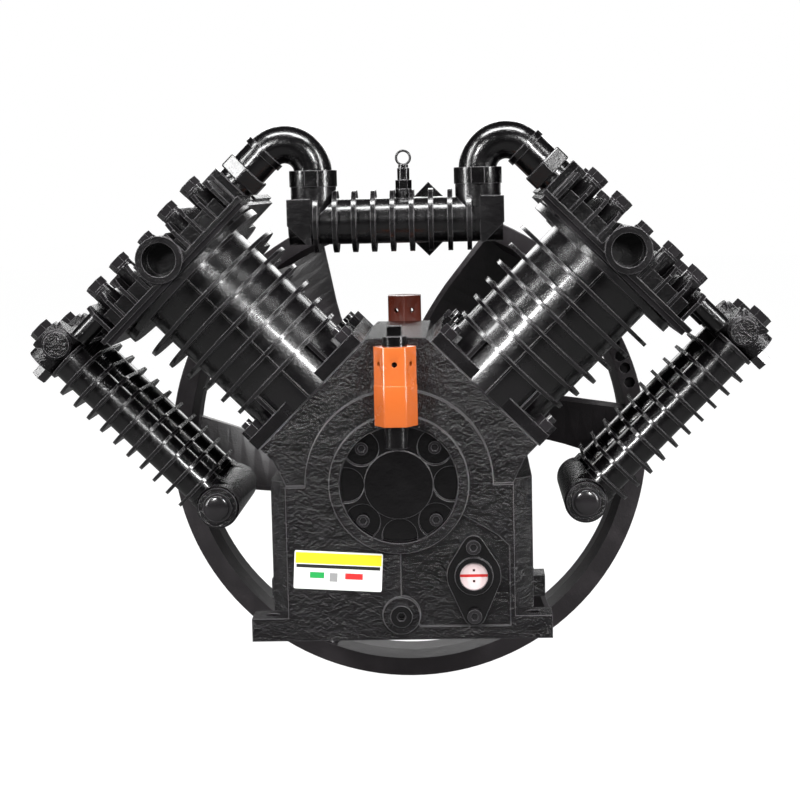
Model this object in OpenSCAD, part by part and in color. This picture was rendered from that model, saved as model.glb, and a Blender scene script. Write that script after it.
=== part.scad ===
// Air compressor pump head: a V of two banks, each with a low pressure cylinder in front of a high pressure one,
// finned intercoolers outside, a finned collector between the heads and a fan flywheel behind.
// X points right, Y away from the front cover, Z up. The origin is the centre of the four base bolts.

/* [Crankcase] */
// Height of the crank axis above the base
crank_h = 143; // [140:1:160]
// Width of the front of the crankcase
case_w = 206; // [200:1:216]
// Width of the crankcase behind the front feet
case_rear_w = 242; // [234:1:252]
// Distance from the origin to the front face
case_front = 105; // [103:1:110]
// Distance from the origin to the rear face
case_back = 118; // [117:1:124]
// Thickness of the crankcase walls
case_wall = 9; // [8:0.5:10]
// Radius of the crank chamber
chamber_r = 92; // [90:0.5:94]
// Radius of the round boss round the front cover
front_boss_r = 85; // [80:1:88]
// Width over the four feet
feet_w = 273; // [266:1:284]
// Thickness of the feet
foot_t = 21; // [16:1:24]
// Length of each foot
foot_l = 34; // [30:1:38]
// Distance between the base bolts, left to right
base_bolt_x = 238; // [234:1:242]
// Distance between the base bolts, front to back
base_bolt_y = 176; // [170:1:178]
// Diameter of the base bolt holes
base_hole_d = 13; // [11:0.5:14]

/* [Cylinders] */
// Distance from the crank axis to the deck that the cylinders stand on
deck_u = 111.5; // [110:0.5:116]
// Length of the cylinder block, from its foot to its top face
block_l = 157; // [154:0.5:162]
// Bore of the low pressure cylinders
low_bore = 95; // [88:1:98]
// Bore of the high pressure cylinders
high_bore = 62; // [60:1:66]
// Distance of the low pressure cylinders in front of the origin
low_front = 40; // [39:0.5:42]
// Distance of the high pressure cylinders behind the origin
high_back = 68; // [67:0.5:69]
// Outer diameter of the low pressure barrel
low_barrel_d = 116; // [112:1:120]
// Outer diameter of the high pressure barrel
high_barrel_d = 88; // [84:1:92]
// Number of cooling fins on a cylinder
fin_n = 7; // [5:1:8]
// Distance between the cylinder fins
fin_pitch = 18.8; // [16:0.2:19.6]
// Thickness of a cylinder fin
fin_t = 3.6; // [2.5:0.1:5]
// Radius of the top fin round the low pressure cylinder
fin_top_r = 82; // [78:1:84]
// Radius of the lowest fin round the low pressure cylinder
fin_low_r = 63.5; // [61:0.5:68]

/* [Heads] */
// Length of a head, across the crank axis
head_l = 160; // [154:1:166]
// Length of the flange of a head
head_flange_l = 178; // [172:1:184]
// Height of a head above the valve plate
head_h = 35; // [32:0.5:38]
// Thickness of the flange of a head
head_flange_t = 5; // [4:0.5:7]
// Thickness of a valve plate
valve_plate_t = 4.6; // [4:0.2:6]
// Thickness of the fins of a head
head_fin_t = 3.6; // [2.5:0.1:5]
// Diameter of the intake port
intake_d = 30.3; // [26:0.1:34]
// Diameter of the boss round the intake port
intake_boss_d = 42; // [39:1:46]
// Depth of the intake port
intake_depth = 30; // [20:1:40]

/* [Crank drive] */
// Throw of the crank, half of the stroke
crank_r = 40; // [38:0.5:40]
// Length of a connecting rod between its centres
rod_l = 195; // [193:0.5:195]
// Width of the big end of a rod
big_end_w = 20; // [17:0.5:20]
// Diameter of the crank pins
crank_pin_d = 38; // [34:1:40]
// Diameter of the wrist pins
wrist_pin_d = 18; // [15:0.5:20]
// Height of a piston
piston_h = 58; // [54:0.5:58]
// Distance from a wrist pin to the top of its piston
piston_top = 33.5; // [32:0.5:33.5]
// Diameter of the front journal
front_journal_d = 35; // [30:1:38]
// Diameter of the rear journal
rear_journal_d = 45; // [42:1:48]

/* [Flywheel] */
// Outer diameter of the flywheel
fly_d = 493; // [482:1:498]
// Width of the rim
fly_rim_w = 66; // [58:1:72]
// Thickness of the rim at its front face
fly_rim_t = 18.5; // [16:0.5:21]
// Distance from the origin to the front face of the rim
fly_front = 165; // [163:1:172]
// Number of spokes
spoke_n = 6; // [4:1:7]
// Diameter of the hub
hub_d = 88; // [80:1:96]
// Diameter of the shaft end in the hub
snout_d = 38; // [34:1:40]

/* [Intercoolers] */
// Distance of the intercooler barrels from the cylinder axes
cooler_w = 139; // [137:0.5:144]
// Outer diameter of an intercooler barrel
cooler_d = 35; // [31:1:37]
// Width of the intercooler fins round the front barrel
cooler_fin_d = 55; // [51:1:58]
// Number of fins on an intercooler barrel
cooler_fin_n = 10; // [8:1:11]
// Distance between the intercooler fins
cooler_pitch = 16.8; // [14:0.2:17]
// Diameter of the bottom headers
header_d = 40; // [36:1:42]

/* [Discharge] */
// Outer diameter of the discharge elbows
elbow_d = 36; // [32:1:38]
// Bend radius of the discharge elbows
elbow_bend = 26; // [24:0.5:30]
// Distance of the discharge elbows from the centre where they meet the collector
elbow_x = 76; // [72:1:80]
// Length of the straight leg of an elbow above its union
elbow_leg = 8.5; // [6:0.5:12]
// Diameter of the collector barrel
collector_d = 42; // [38:1:44]
// Outer diameter of the collector fins
collector_fin_d = 57.5; // [54:0.5:60]
// Number of collector fins
collector_fin_n = 9; // [7:1:9]
// Distance between the collector fins
collector_pitch = 17.6; // [15:0.1:18]

/* [Fittings] */
// Width across the flats of a breather sleeve
sleeve_af = 33; // [30:0.5:34]
// Height of a breather sleeve
sleeve_h = 70; // [60:1:76]
// Diameter of the breather tubes
breather_tube_d = 22; // [18:0.5:24]
// Diameter of the sight glass
lens_d = 25; // [20:0.5:27]

/* [Hidden] */
$fn = 96;

// Shared fits and small sizes
over = 1;
seat = 0.3;
running = 0.06;
loose = 0.4;
bank_angle = 45;
low_y = -low_front;
high_y = high_back;
front_y = -case_front;

// Paint and metal
paint = [0.07, 0.07, 0.075];
paint_smooth = [0.11, 0.11, 0.115];
orange = [1.0, 0.42, 0.06];
steel = [0.62, 0.62, 0.64];
alloy = [0.75, 0.75, 0.76];
gasket_grey = [0.35, 0.36, 0.38];
glass_red = [0.9, 0.75, 0.75];
bronze = [0.7, 0.55, 0.3];

// Turns a place on a bank, outward along its cylinders and across them, into a place across the object and up
function bank_xz(u, w) = [u * sin(bank_angle) + w * cos(bank_angle),
    crank_h + u * cos(bank_angle) - w * sin(bank_angle)];
function flip(points) = [for (i = [len(points) - 1 : -1 : 0]) [-points[i][0], points[i][1]]];
function ring_place(r, a) = [r * cos(a), r * sin(a)];

// Puts children, drawn with Z outward along the cylinders, on the right bank (1) or the left bank (-1)
module on_bank(side) {
    translate([0, 0, crank_h])
        if (side > 0) rotate([0, bank_angle, 0]) children();
        else mirror([1, 0, 0]) rotate([0, bank_angle, 0]) children();
}
module both_banks() {
    on_bank(-1) children();
    on_bank(1) children();
}
// Extrudes a front view outline from y0 back to y1
module along_y(y0, y1) {
    translate([0, y1, 0]) rotate([90, 0, 0]) linear_extrude(height = y1 - y0) children();
}
// A round bar along Y at x, z
module bar_y(y0, y1, r, x = 0, z = crank_h) {
    translate([x, y1, z]) rotate([90, 0, 0]) cylinder(h = y1 - y0, r = r);
}
// A round bar along X at y, z
module bar_x(x0, x1, r, y, z) {
    translate([x0, y, z]) rotate([0, 90, 0]) cylinder(h = x1 - x0, r = r);
}
module hex_y(y0, y1, af, x = 0, z = crank_h, turn = 0) {
    translate([x, y1, z]) rotate([90, 0, 0]) rotate([0, 0, turn])
        cylinder(h = y1 - y0, r = af / 2 / cos(30), $fn = 6);
}
module block(x0, x1, y0, y1, z0, z1) {
    translate([x0, y0, z0]) cube([x1 - x0, y1 - y0, z1 - z0]);
}
module hex_head(af, h) {
    cylinder(h = h, r = af / 2 / cos(30), $fn = 6);
}

// Crankcase
pad_t = 16;
deck_low = 66;
deck_top = 74;
deck_over = 55;
deck_front = low_front + deck_over;
case_recess = 10;
ring_w = 10;
ring_out = 5;
cover_r = 53;
ledge_w = 12.5;
ledge_t = 8;
cover_t = 13;
shoulder_down = 2;
shoulder_z = crank_h - shoulder_down;
floor_t = 12;
flare_y0 = -72;
flare_y1 = -56;
low_opening_r = 54;
high_opening_r = 46;
rear_spigot_r = 58;
drain_x = 0;
drain_z = 23;
drain_boss_r = 17;
drain_boss_h = 4;
drain_thread_r = 8;
pocket_d = 3;
glass_x = 66;
glass_z = 59;
glass_bolt_up = 27;
glass_bolt_down = 36;
case_inner_front = front_y + cover_t - ring_out + ledge_t;
case_inner_back = case_back - case_wall;

function deck_outline() = [[case_w / 2, shoulder_z], bank_xz(deck_u - pad_t, deck_low), bank_xz(deck_u,
    deck_low),
    bank_xz(deck_u, -deck_top)];

module case_body() {
    corners = deck_outline();
    along_y(front_y, case_back) translate([-case_w / 2, 0]) square([case_w, shoulder_z]);
    linear_extrude(height = shoulder_z)
        polygon([[-case_w / 2, flare_y0], [case_w / 2, flare_y0], [case_rear_w / 2, flare_y1],
            [case_rear_w / 2, case_inner_back], [case_w / 2, case_back], [-case_w / 2, case_back],
            [-case_rear_w / 2, case_inner_back], [-case_rear_w / 2, flare_y1]]);
    along_y(front_y + case_recess, case_back) polygon(concat(corners, flip(corners)));
    bar_y(front_y, front_y + case_recess + over, front_boss_r);
    bar_y(front_y - ring_out, front_y + over, cover_r + ring_w);
    bar_y(front_y - drain_boss_h, front_y + over, drain_boss_r, drain_x, drain_z);
}
module feet() {
    for (sx = [-1, 1], sy = [-1, 1])
        translate([sx * (feet_w / 4 + case_w / 8), sy * base_bolt_y / 2, foot_t / 2])
            cube([feet_w / 2 - case_w / 4, foot_l, foot_t], center = true);
}
module front_pocket() {
    edge = case_w / 2 - case_wall / 2;
    difference() {
        along_y(front_y - over, front_y + pocket_d)
            polygon([[0, crank_h - cover_r], [cover_r, crank_h - cover_r / 2], [edge - ring_w,
                crank_h - cover_r + ring_out],
                [edge, crank_h - cover_r - ring_out], [edge, floor_t], [drain_boss_r, floor_t], [0,
                    drain_z + drain_boss_r]]);
        bar_y(front_y - over - over, front_y + pocket_d + over, cover_r + ring_w);
        bar_y(front_y - over - over, front_y + pocket_d + over, drain_boss_r, drain_x, drain_z);
    }
}
module crankcase() {
    color(paint) difference() {
        union() {
            case_body();
            feet();
        }
        bar_y(case_inner_front, case_inner_back, chamber_r);
        block(-chamber_r, chamber_r, case_inner_front, case_inner_back, floor_t, crank_h);
        both_banks() {
            translate([0, low_y, 0]) cylinder(h = deck_u + over, r = low_opening_r);
            translate([0, high_y, 0]) cylinder(h = deck_u + over, r = high_opening_r);
        }
        bar_y(front_y - ring_out - over, front_y - ring_out + cover_t, cover_r + seat);
        bar_y(front_y, case_inner_front + over, cover_r - ledge_w);
        cover_screw_holes(cover_seat_y - over);
        bar_y(case_inner_back - over, case_back + over, rear_spigot_r);
        bar_y(front_y - drain_boss_h - over, case_inner_front + over, drain_thread_r, drain_x, drain_z);
        front_pocket();
        bar_y(front_y - over, case_inner_front + over, lens_d / 2 - lens_ledge, glass_x, glass_z);
        for (sx = [-1, 1], sy = [-1, 1])
            translate([sx * base_bolt_x / 2, sy * base_bolt_y / 2, -over])
                cylinder(h = foot_t + over + over, r = base_hole_d / 2);
    }
}

// Front cover
dome_r = 31;
dome_h = 2;
pocket_r = 16;
pocket_ring_r = 47;
pocket_floor = 5;
front_bearing_r = 36;
front_bearing_w = 18;
bearing_boss_r = 39.5;
cover_front = front_y - ring_out + over;
cover_seat_y = front_y - ring_out + cover_t;
front_bearing_y = cover_seat_y + ring_out / 2;
cover_screw_r = 3;
cover_screw_head_r = 5.8;
cover_screw_head_h = 6;
cover_screw_ring_r = 46.5;
cover_screw_l = 11;
key_af = 6;

module cover_screw_holes(y0) {
    for (a = [45 : 90 : 315])
        bar_y(y0, case_inner_front + over, cover_screw_r + running, cover_screw_ring_r * cos(a),
            crank_h + cover_screw_ring_r * sin(a));
}
module front_cover() {
    color(paint_smooth) difference() {
        union() {
            bar_y(cover_front, cover_seat_y, cover_r);
            bar_y(cover_front - dome_h, cover_front + over, dome_r);
            bar_y(cover_seat_y - over, front_bearing_y + front_bearing_w, bearing_boss_r);
        }
        for (a = [0 : 45 : 315]) if (a != 90)
            translate([0, 0, crank_h]) rotate([0, -a, 0]) translate([pocket_ring_r, 0, -crank_h])
                bar_y(cover_front - over, cover_seat_y - pocket_floor, pocket_r);
        cover_screw_holes(cover_front);
        bar_y(front_bearing_y, front_bearing_y + front_bearing_w + over, front_bearing_r);
        bar_y(front_bearing_y - ledge_t / 2, front_bearing_y + over, front_journal_d / 2 + ring_out);
    }
}
module socket_screw_y(x, z, y, r, l, head_r, head_h, af) {
    difference() {
        union() {
            bar_y(y, y + l, r, x, z);
            bar_y(y - head_h, y, head_r, x, z);
        }
        hex_y(y - head_h - over, y - head_h / 2, af, x, z);
    }
}
module front_cover_bolts() {
    color(steel) for (a = [45 : 90 : 315])
        socket_screw_y(cover_screw_ring_r * cos(a), crank_h + cover_screw_ring_r * sin(a),
            cover_seat_y - pocket_floor, cover_screw_r, cover_screw_l, cover_screw_head_r,
                cover_screw_head_h, key_af);
}

// Rear cover, seal and bearings
rear_cover_r = 84;
rear_cover_t = 12;
rear_neck_r = 33;
rear_neck_l = 8;
rear_bearing_r = 46;
rear_bearing_w = 22;
rear_bearing_y = case_inner_back - ring_out / 2;
rear_seal_r = 30;
rear_bolt_ring_r = 74;
rear_bolt_n = 8;
rear_bolt_af = 13;
rear_bolt_h = 6;
rear_bolt_r = 4;
rear_face = case_back + rear_cover_t;
race_t = 4.5;
ball_fill_share = 0.8;

module rear_cover() {
    color(paint_smooth) difference() {
        union() {
            bar_y(case_back, rear_face, rear_cover_r);
            bar_y(rear_bearing_y, case_back + over, rear_spigot_r - seat);
            bar_y(rear_face - over, rear_face + rear_neck_l, rear_neck_r + race_t);
        }
        bar_y(rear_bearing_y - over, rear_bearing_y + rear_bearing_w, rear_bearing_r);
        bar_y(rear_bearing_y + rear_bearing_w - over, rear_face + rear_neck_l + over, rear_seal_r);
        for (i = [0 : rear_bolt_n - 1]) {
            p = ring_place(rear_bolt_ring_r, (i + 0.5) * 360 / rear_bolt_n);
            bar_y(case_back - over, rear_face + over, rear_bolt_r + seat, p[0], crank_h + p[1]);
        }
    }
}
module rear_cover_bolts() {
    color(steel) for (i = [0 : rear_bolt_n - 1]) {
        p = ring_place(rear_bolt_ring_r, (i + 0.5) * 360 / rear_bolt_n);
        bar_y(case_back, rear_face, rear_bolt_r, p[0], crank_h + p[1]);
        hex_y(rear_face, rear_face + rear_bolt_h, rear_bolt_af, p[0], crank_h + p[1]);
    }
}
module rear_seal() {
    seal_y = rear_face + rear_neck_l / 2;
    color(gasket_grey) difference() {
        bar_y(rear_bearing_y + rear_bearing_w + seat, rear_face + rear_neck_l, rear_seal_r);
        bar_y(rear_face - rear_neck_l, rear_face + rear_neck_l + over, rear_journal_d / 2 + seat);
        bar_y(seal_y, rear_face + rear_neck_l + over, rear_journal_d / 2 + race_t);
    }
}
// A ball bearing: two grooved races and their balls
module ball_bearing(y0, w, outer_r, inner_r) {
    pitch_r = (outer_r + inner_r) / 2;
    ball_r = (outer_r - inner_r) / 2 - race_t;
    ball_n = floor(PI * pitch_r / ball_r * ball_fill_share);
    difference() {
        bar_y(y0, y0 + w, outer_r);
        bar_y(y0 - over, y0 + w + over, outer_r - race_t);
        translate([0, y0 + w / 2, crank_h]) rotate([90, 0, 0]) rotate_extrude() translate([pitch_r, 0])
            circle(r = ball_r + seat);
    }
    difference() {
        bar_y(y0, y0 + w, inner_r + race_t);
        bar_y(y0 - over, y0 + w + over, inner_r);
        translate([0, y0 + w / 2, crank_h]) rotate([90, 0, 0]) rotate_extrude() translate([pitch_r, 0])
            circle(r = ball_r + seat);
    }
    for (i = [0 : ball_n - 1]) {
        p = ring_place(pitch_r, i * 360 / ball_n);
        translate([p[0], y0 + w / 2, crank_h + p[1]]) sphere(r = ball_r, $fn = 24);
    }
}
module front_bearing() {
    color(steel) ball_bearing(front_bearing_y, front_bearing_w, front_bearing_r, front_journal_d / 2 + running);
}
module rear_bearing() {
    color(steel) ball_bearing(rear_bearing_y, rear_bearing_w, rear_bearing_r, rear_journal_d / 2 + running);
}

// Crankshaft
throw_half = big_end_w + over / 2;
web_t = 12;
web_r = 70;
web_pin_r = 28;
web_core_r = 30;
front_web_y = low_y - throw_half - loose;
mid_web_front = low_y + throw_half + loose;
mid_web_back = high_y - throw_half - loose;
rear_web_y = high_y + throw_half + loose;
snout_y = rear_face + rear_neck_l;
hub_gap = 4;
hub_y0 = rear_face + rear_neck_l + hub_gap;
hub_l = 62;
key_w = 10;
key_h = 8;
fly_bolt_af = 24;
fly_bolt_h = 12;
fly_bolt_r = 8;
fly_bolt_l = 30;
fly_washer_r = 27;
fly_washer_t = 4;
snout_end = hub_y0 + hub_l - fly_washer_t / 2;

// A crank web with its counterweight, pin side up (1) or down (-1)
module web(y0, y1, dir) {
    along_y(y0, y1) translate([0, crank_h]) {
        translate([0, dir * crank_r]) circle(r = web_pin_r);
        circle(r = web_core_r);
        translate([-web_pin_r, dir > 0 ? 0 : -crank_r]) square([web_pin_r + web_pin_r, crank_r]);
        intersection() {
            circle(r = web_r);
            translate([-web_r, dir > 0 ? -web_r - web_pin_r / 2 : web_pin_r / 2]) square([web_r + web_r,
                web_r]);
        }
    }
}
module crankshaft() {
    color(steel) {
        bar_y(front_bearing_y, front_web_y - web_t + over, front_journal_d / 2);
        web(front_web_y - web_t, front_web_y, 1);
        web(mid_web_front, mid_web_front + web_t, 1);
        bar_y(mid_web_front + web_t - over, mid_web_back - web_t + over, web_core_r - race_t);
        web(mid_web_back - web_t, mid_web_back, -1);
        web(rear_web_y, rear_web_y + web_t, -1);
        difference() {
            union() {
                bar_y(rear_web_y + web_t - over, snout_y, rear_journal_d / 2);
                bar_y(snout_y - over, snout_end, snout_d / 2);
            }
            block(-key_w / 2, key_w / 2, hub_y0, snout_end + over, crank_h + snout_d / 2 - key_h / 2,
                crank_h + snout_d);
            bar_y(snout_end - fly_bolt_l, snout_end + over, fly_bolt_r);
        }
    }
}

// Flywheel
groove_n = 2;
groove_w = 17;
groove_bottom_w = 10;
groove_d = 13;
spoke_share = [[0.13, 0.14, 0.05], [0.42, 0.2, 0.03], [0.66, 0.2, -0.01], [0.85, 0.175, -0.07], [1, 0.152,
    -0.12]];
spoke_t = 7;
spoke_steps = 3;
spoke_depth_root = 32;
spoke_depth_tip = 40;
rim_rib = 6;
balance_hole_r = 5.6;
balance_hole_d = 9;
balance_angles = [25.2, 21.6, 18.4, 14.6];
fly_r = fly_d / 2;
rim_in_r = fly_r - fly_rim_t;
spoke_y = fly_front + fly_rim_w * 3 / 8;
spoke_tip_r = rim_in_r - rim_rib / 2;

// A smooth row between the second and third of four rows
function smooth_row(a, b, c, d, t) = b + (c - a) * t / 2 + (2 * a - 5 * b + 4 * c - d) * t * t / 2
    + (3 * b - 3 * c + d - a) * t * t * t / 2;
function spoke_row(i, t) = smooth_row(spoke_share[max(i - 1, 0)], spoke_share[i],
    spoke_share[min(i + 1, len(spoke_share) - 1)], spoke_share[min(i + 2, len(spoke_share) - 1)], t);
// Points of one blade section, from the leading edge in front to the trailing edge behind, with round noses
function blade_ring(r, lead, trail, depth) =
    let (a = [-depth / 2, lead], b = [depth / 2, trail], d = (b - a) / norm(b - a) * spoke_t / 2, n = [-d[1], d[0]])
        [for (p = [a + n, a - d, a - n, b - n, b + d, b + n]) [r, p[0], p[1]]];
module spoke() {
    rows = [for (i = [0 : len(spoke_share) - 2], t = [0 : spoke_steps - 1]) spoke_row(i, t / spoke_steps),
        spoke_share[len(spoke_share) - 1]];
    n = len(rows);
    points = [for (i = [0 : n - 1]) each blade_ring(rows[i][0] * spoke_tip_r, rows[i][1] * spoke_tip_r,
        rows[i][2] * spoke_tip_r, spoke_depth_root + (spoke_depth_tip - spoke_depth_root) * i / (n - 1))];
    k = len(points) / n;
    sides = [for (i = [0 : n - 2], j = [0 : k - 1]) each [
        [k * i + j, k * (i + 1) + (j + 1) % k, k * i + (j + 1) % k],
        [k * i + j, k * (i + 1) + j, k * (i + 1) + (j + 1) % k]]];
    polyhedron(points = points, faces = concat(sides, [for (j = [1 : k - 2]) [0, j, j + 1]],
        [for (j = [1 : k - 2]) [k * (n - 1), k * (n - 1) + j + 1, k * (n - 1) + j]]));
}
module rim() {
    pitch = fly_rim_w / groove_n;
    translate([0, fly_front, crank_h]) rotate([-90, 0, 0]) rotate_extrude($fn = 180) difference() {
        polygon([[rim_in_r, 0], [fly_r, 0], [fly_r, fly_rim_w], [rim_in_r, fly_rim_w],
            [rim_in_r - rim_rib, fly_rim_w * 3 / 4], [rim_in_r - rim_rib, fly_rim_w / 4]]);
        for (i = [0 : groove_n - 1]) translate([fly_r, (i + 0.5) * pitch])
            polygon([[over, -groove_w / 2], [over, groove_w / 2], [-groove_d, groove_bottom_w / 2],
                [-groove_d, -groove_bottom_w / 2]]);
    }
}
module flywheel() {
    color(paint) difference() {
        union() {
            rim();
            bar_y(hub_y0, hub_y0 + hub_l, hub_d / 2);
            for (i = [0 : spoke_n - 1])
                translate([0, spoke_y, crank_h]) rotate([0, -i * 360 / spoke_n, 0]) spoke();
        }
        bar_y(hub_y0 - over, hub_y0 + hub_l + over, snout_d / 2 + running / 2);
        block(-key_w / 2, key_w / 2, hub_y0 - over, hub_y0 + hub_l + over, crank_h,
            crank_h + snout_d / 2 + key_h / 2);
        for (a = balance_angles) {
            p = ring_place(fly_r - fly_rim_t / 2, a);
            bar_y(fly_front - over, fly_front + balance_hole_d, balance_hole_r, p[0], crank_h + p[1]);
        }
    }
}
module flywheel_key() {
    color(steel) block(-key_w / 2 + running, key_w / 2 - running, hub_y0, snout_end - fly_washer_t,
        crank_h + snout_d / 2 - key_h / 2, crank_h + snout_d / 2 + key_h / 2 - running);
}
module flywheel_bolt() {
    y0 = hub_y0 + hub_l;
    color(steel) {
        bar_y(y0, y0 + fly_washer_t, fly_washer_r);
        hex_y(y0 + fly_washer_t, y0 + fly_washer_t + fly_bolt_h, fly_bolt_af);
        bar_y(snout_end - fly_bolt_l + over, y0 + over, fly_bolt_r - running);
    }
}

// Sight glass and drain plug
glass_flange_r = 24.5;
glass_ear_r = 10;
glass_flange_t = 8;
glass_rim_r = 17.2;
glass_rim_h = 3;
glass_face = front_y + pocket_d;
lens_t = 5;
lens_ledge = 2;
glass_screw_r = 3.5;
glass_screw_head_r = 6.6;
glass_screw_head_h = 7;
plug_h = 8;

module sight_glass_flange() {
    color(paint_smooth) difference() {
        union() {
            along_y(glass_face - glass_flange_t, glass_face) translate([glass_x, glass_z]) hull() {
                circle(r = glass_flange_r, $fn = 48);
                translate([0, glass_bolt_up]) circle(r = glass_ear_r, $fn = 32);
                translate([0, -glass_bolt_down]) circle(r = glass_ear_r, $fn = 32);
            }
            bar_y(glass_face - glass_flange_t - glass_rim_h, glass_face, glass_rim_r, glass_x, glass_z);
        }
        bar_y(glass_face - glass_flange_t - glass_rim_h - over, glass_face - glass_flange_t + lens_t,
            lens_d / 2,
            glass_x, glass_z);
        bar_y(glass_face - glass_flange_t, glass_face + over, lens_d / 2 - lens_ledge, glass_x, glass_z);
        for (z = [glass_bolt_up, -glass_bolt_down])
            bar_y(glass_face - glass_flange_t - over, glass_face + over, glass_screw_r + seat, glass_x,
                glass_z + z);
    }
}
module sight_glass_lens() {
    color(glass_red) bar_y(glass_face - glass_flange_t, glass_face - glass_flange_t + lens_t,
        lens_d / 2 - running, glass_x, glass_z);
}
module sight_glass_bolts() {
    color(steel) for (z = [glass_bolt_up, -glass_bolt_down])
        socket_screw_y(glass_x, glass_z + z, glass_face - glass_flange_t, glass_screw_r, glass_flange_t,
            glass_screw_head_r, glass_screw_head_h, key_af);
}
module drain_plug() {
    color(steel) difference() {
        union() {
            bar_y(front_y - drain_boss_h, front_y + case_wall, drain_thread_r - running, drain_x, drain_z);
            bar_y(front_y - drain_boss_h - plug_h / 2, front_y - drain_boss_h, drain_thread_r + over + over,
                drain_x, drain_z);
        }
        hex_y(front_y - drain_boss_h - plug_h, front_y, key_af + over, drain_x, drain_z);
    }
}

// Breathers: a tube with a stub into its cover and a drilled hexagonal sleeve, in front with a plug on top
sleeve_wall = 3;
sleeve_step = 0.8;
sleeve_hole_r = 2.4;
sleeve_hole_down = 15;
sleeve_ac = 37.4;
vent_stem_r = 3;
collar_h = 9;
plug_neck_h = 9;
plug_square = 13;
front_tube_below = 20;
rear_tube_below = 25;
stub_r = 8;
stub_up = 8;
front_sleeve_up = 56.5;
rear_sleeve_up = 86;
breather_out = 26;
front_sleeve_z = crank_h + front_sleeve_up;
rear_sleeve_z = crank_h + rear_sleeve_up;
front_breather_y = front_y - breather_out;
rear_breather_y = rear_face + breather_tube_d / 2 + over;

module sleeve_outline(af) {
    intersection() {
        circle(r = af / 2 / cos(30), $fn = 6);
        circle(r = sleeve_ac / 2 + (af - sleeve_af) / 2);
    }
}
module breather_sleeve(y, z, turn, top_hole) {
    translate([0, y, z]) rotate([0, 0, turn]) difference() {
        union() {
            linear_extrude(height = sleeve_h / 2 + over) sleeve_outline(sleeve_af + sleeve_step);
            translate([0, 0, sleeve_h / 2]) linear_extrude(height = sleeve_h / 2) sleeve_outline(sleeve_af);
        }
        translate([0, 0, -over]) cylinder(h = sleeve_h - sleeve_wall + over, r = sleeve_af / 2 - sleeve_wall);
        if (top_hole) cylinder(h = sleeve_h + over, r = breather_tube_d / 2 - sleeve_wall + seat);
        for (a = [30 : 60 : 330]) translate([0, 0, sleeve_h - sleeve_hole_down]) rotate([0, 90, a])
            cylinder(h = sleeve_af, r = sleeve_hole_r);
    }
}
module breather_tube(y, z, stub_end, below, top) {
    translate([0, y, z]) {
        translate([0, 0, -below]) cylinder(h = top + below, r = breather_tube_d / 2);
        translate([0, 0, stub_up - below]) rotate([stub_end > y ? -90 : 90, 0, 0])
            cylinder(h = abs(stub_end - y), r = stub_r);
    }
}
module breather_plug(y, z, turn) {
    translate([0, y, z + sleeve_h]) rotate([0, 0, turn]) difference() {
        union() {
            cylinder(h = collar_h, r = breather_tube_d / 2);
            translate([0, 0, collar_h + plug_neck_h / 2])
                cube([plug_square, plug_square, plug_neck_h], center = true);
        }
        translate([0, 0, -over]) cylinder(h = plug_neck_h / 2 + over + over,
            r = breather_tube_d / 2 - sleeve_wall + running);
    }
}
module breather_tube_front() {
    color(paint_smooth) {
        breather_tube(front_breather_y, front_sleeve_z, cover_front, front_tube_below, sleeve_h - sleeve_wall);
        translate([0, front_breather_y, front_sleeve_z])
            cylinder(h = sleeve_h + plug_neck_h / 2, r = breather_tube_d / 2 - sleeve_wall);
    }
}
module breather_sleeve_front() {
    color(orange) breather_sleeve(front_breather_y, front_sleeve_z, 0, true);
}
module breather_plug_front() {
    color(paint_smooth) breather_plug(front_breather_y, front_sleeve_z, 0);
}
module breather_tube_rear() {
    color(paint_smooth) breather_tube(rear_breather_y, rear_sleeve_z, rear_face, rear_tube_below,
        sleeve_h - sleeve_hole_down - sleeve_hole_r - over);
    color(paint_smooth) translate([0, rear_breather_y, rear_sleeve_z])
        cylinder(h = sleeve_h - sleeve_wall, r = vent_stem_r);
}
module breather_sleeve_rear() {
    color(orange) breather_sleeve(rear_breather_y, rear_sleeve_z, 30, false);
}

// Cylinder blocks, their gaskets and nuts
gasket_t = 0.8;
block_foot_t = 12;
block_foot_w = 68;
block_u0 = deck_u + gasket_t;
block_u1 = block_u0 + block_l;
top_flange_t = 6.5;
top_gap_t = 1.2;
high_fin_less = 20;
low_r = low_barrel_d / 2;
high_r = high_barrel_d / 2;
foot_y0 = -deck_front;
foot_y1 = case_back;
stud_w = 59;
stud_in = 9;
stud_r = 5;
nut_af = 17;
nut_h = 9;
stud_proud = 5;
gusset_t = 4;
high_relief_u = 130;
fin_first_u = block_u1 - top_flange_t - fin_t;
stud_rows = [foot_y0 + stud_in, (low_y + high_y) / 2 + over, foot_y1 - stud_in];

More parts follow.
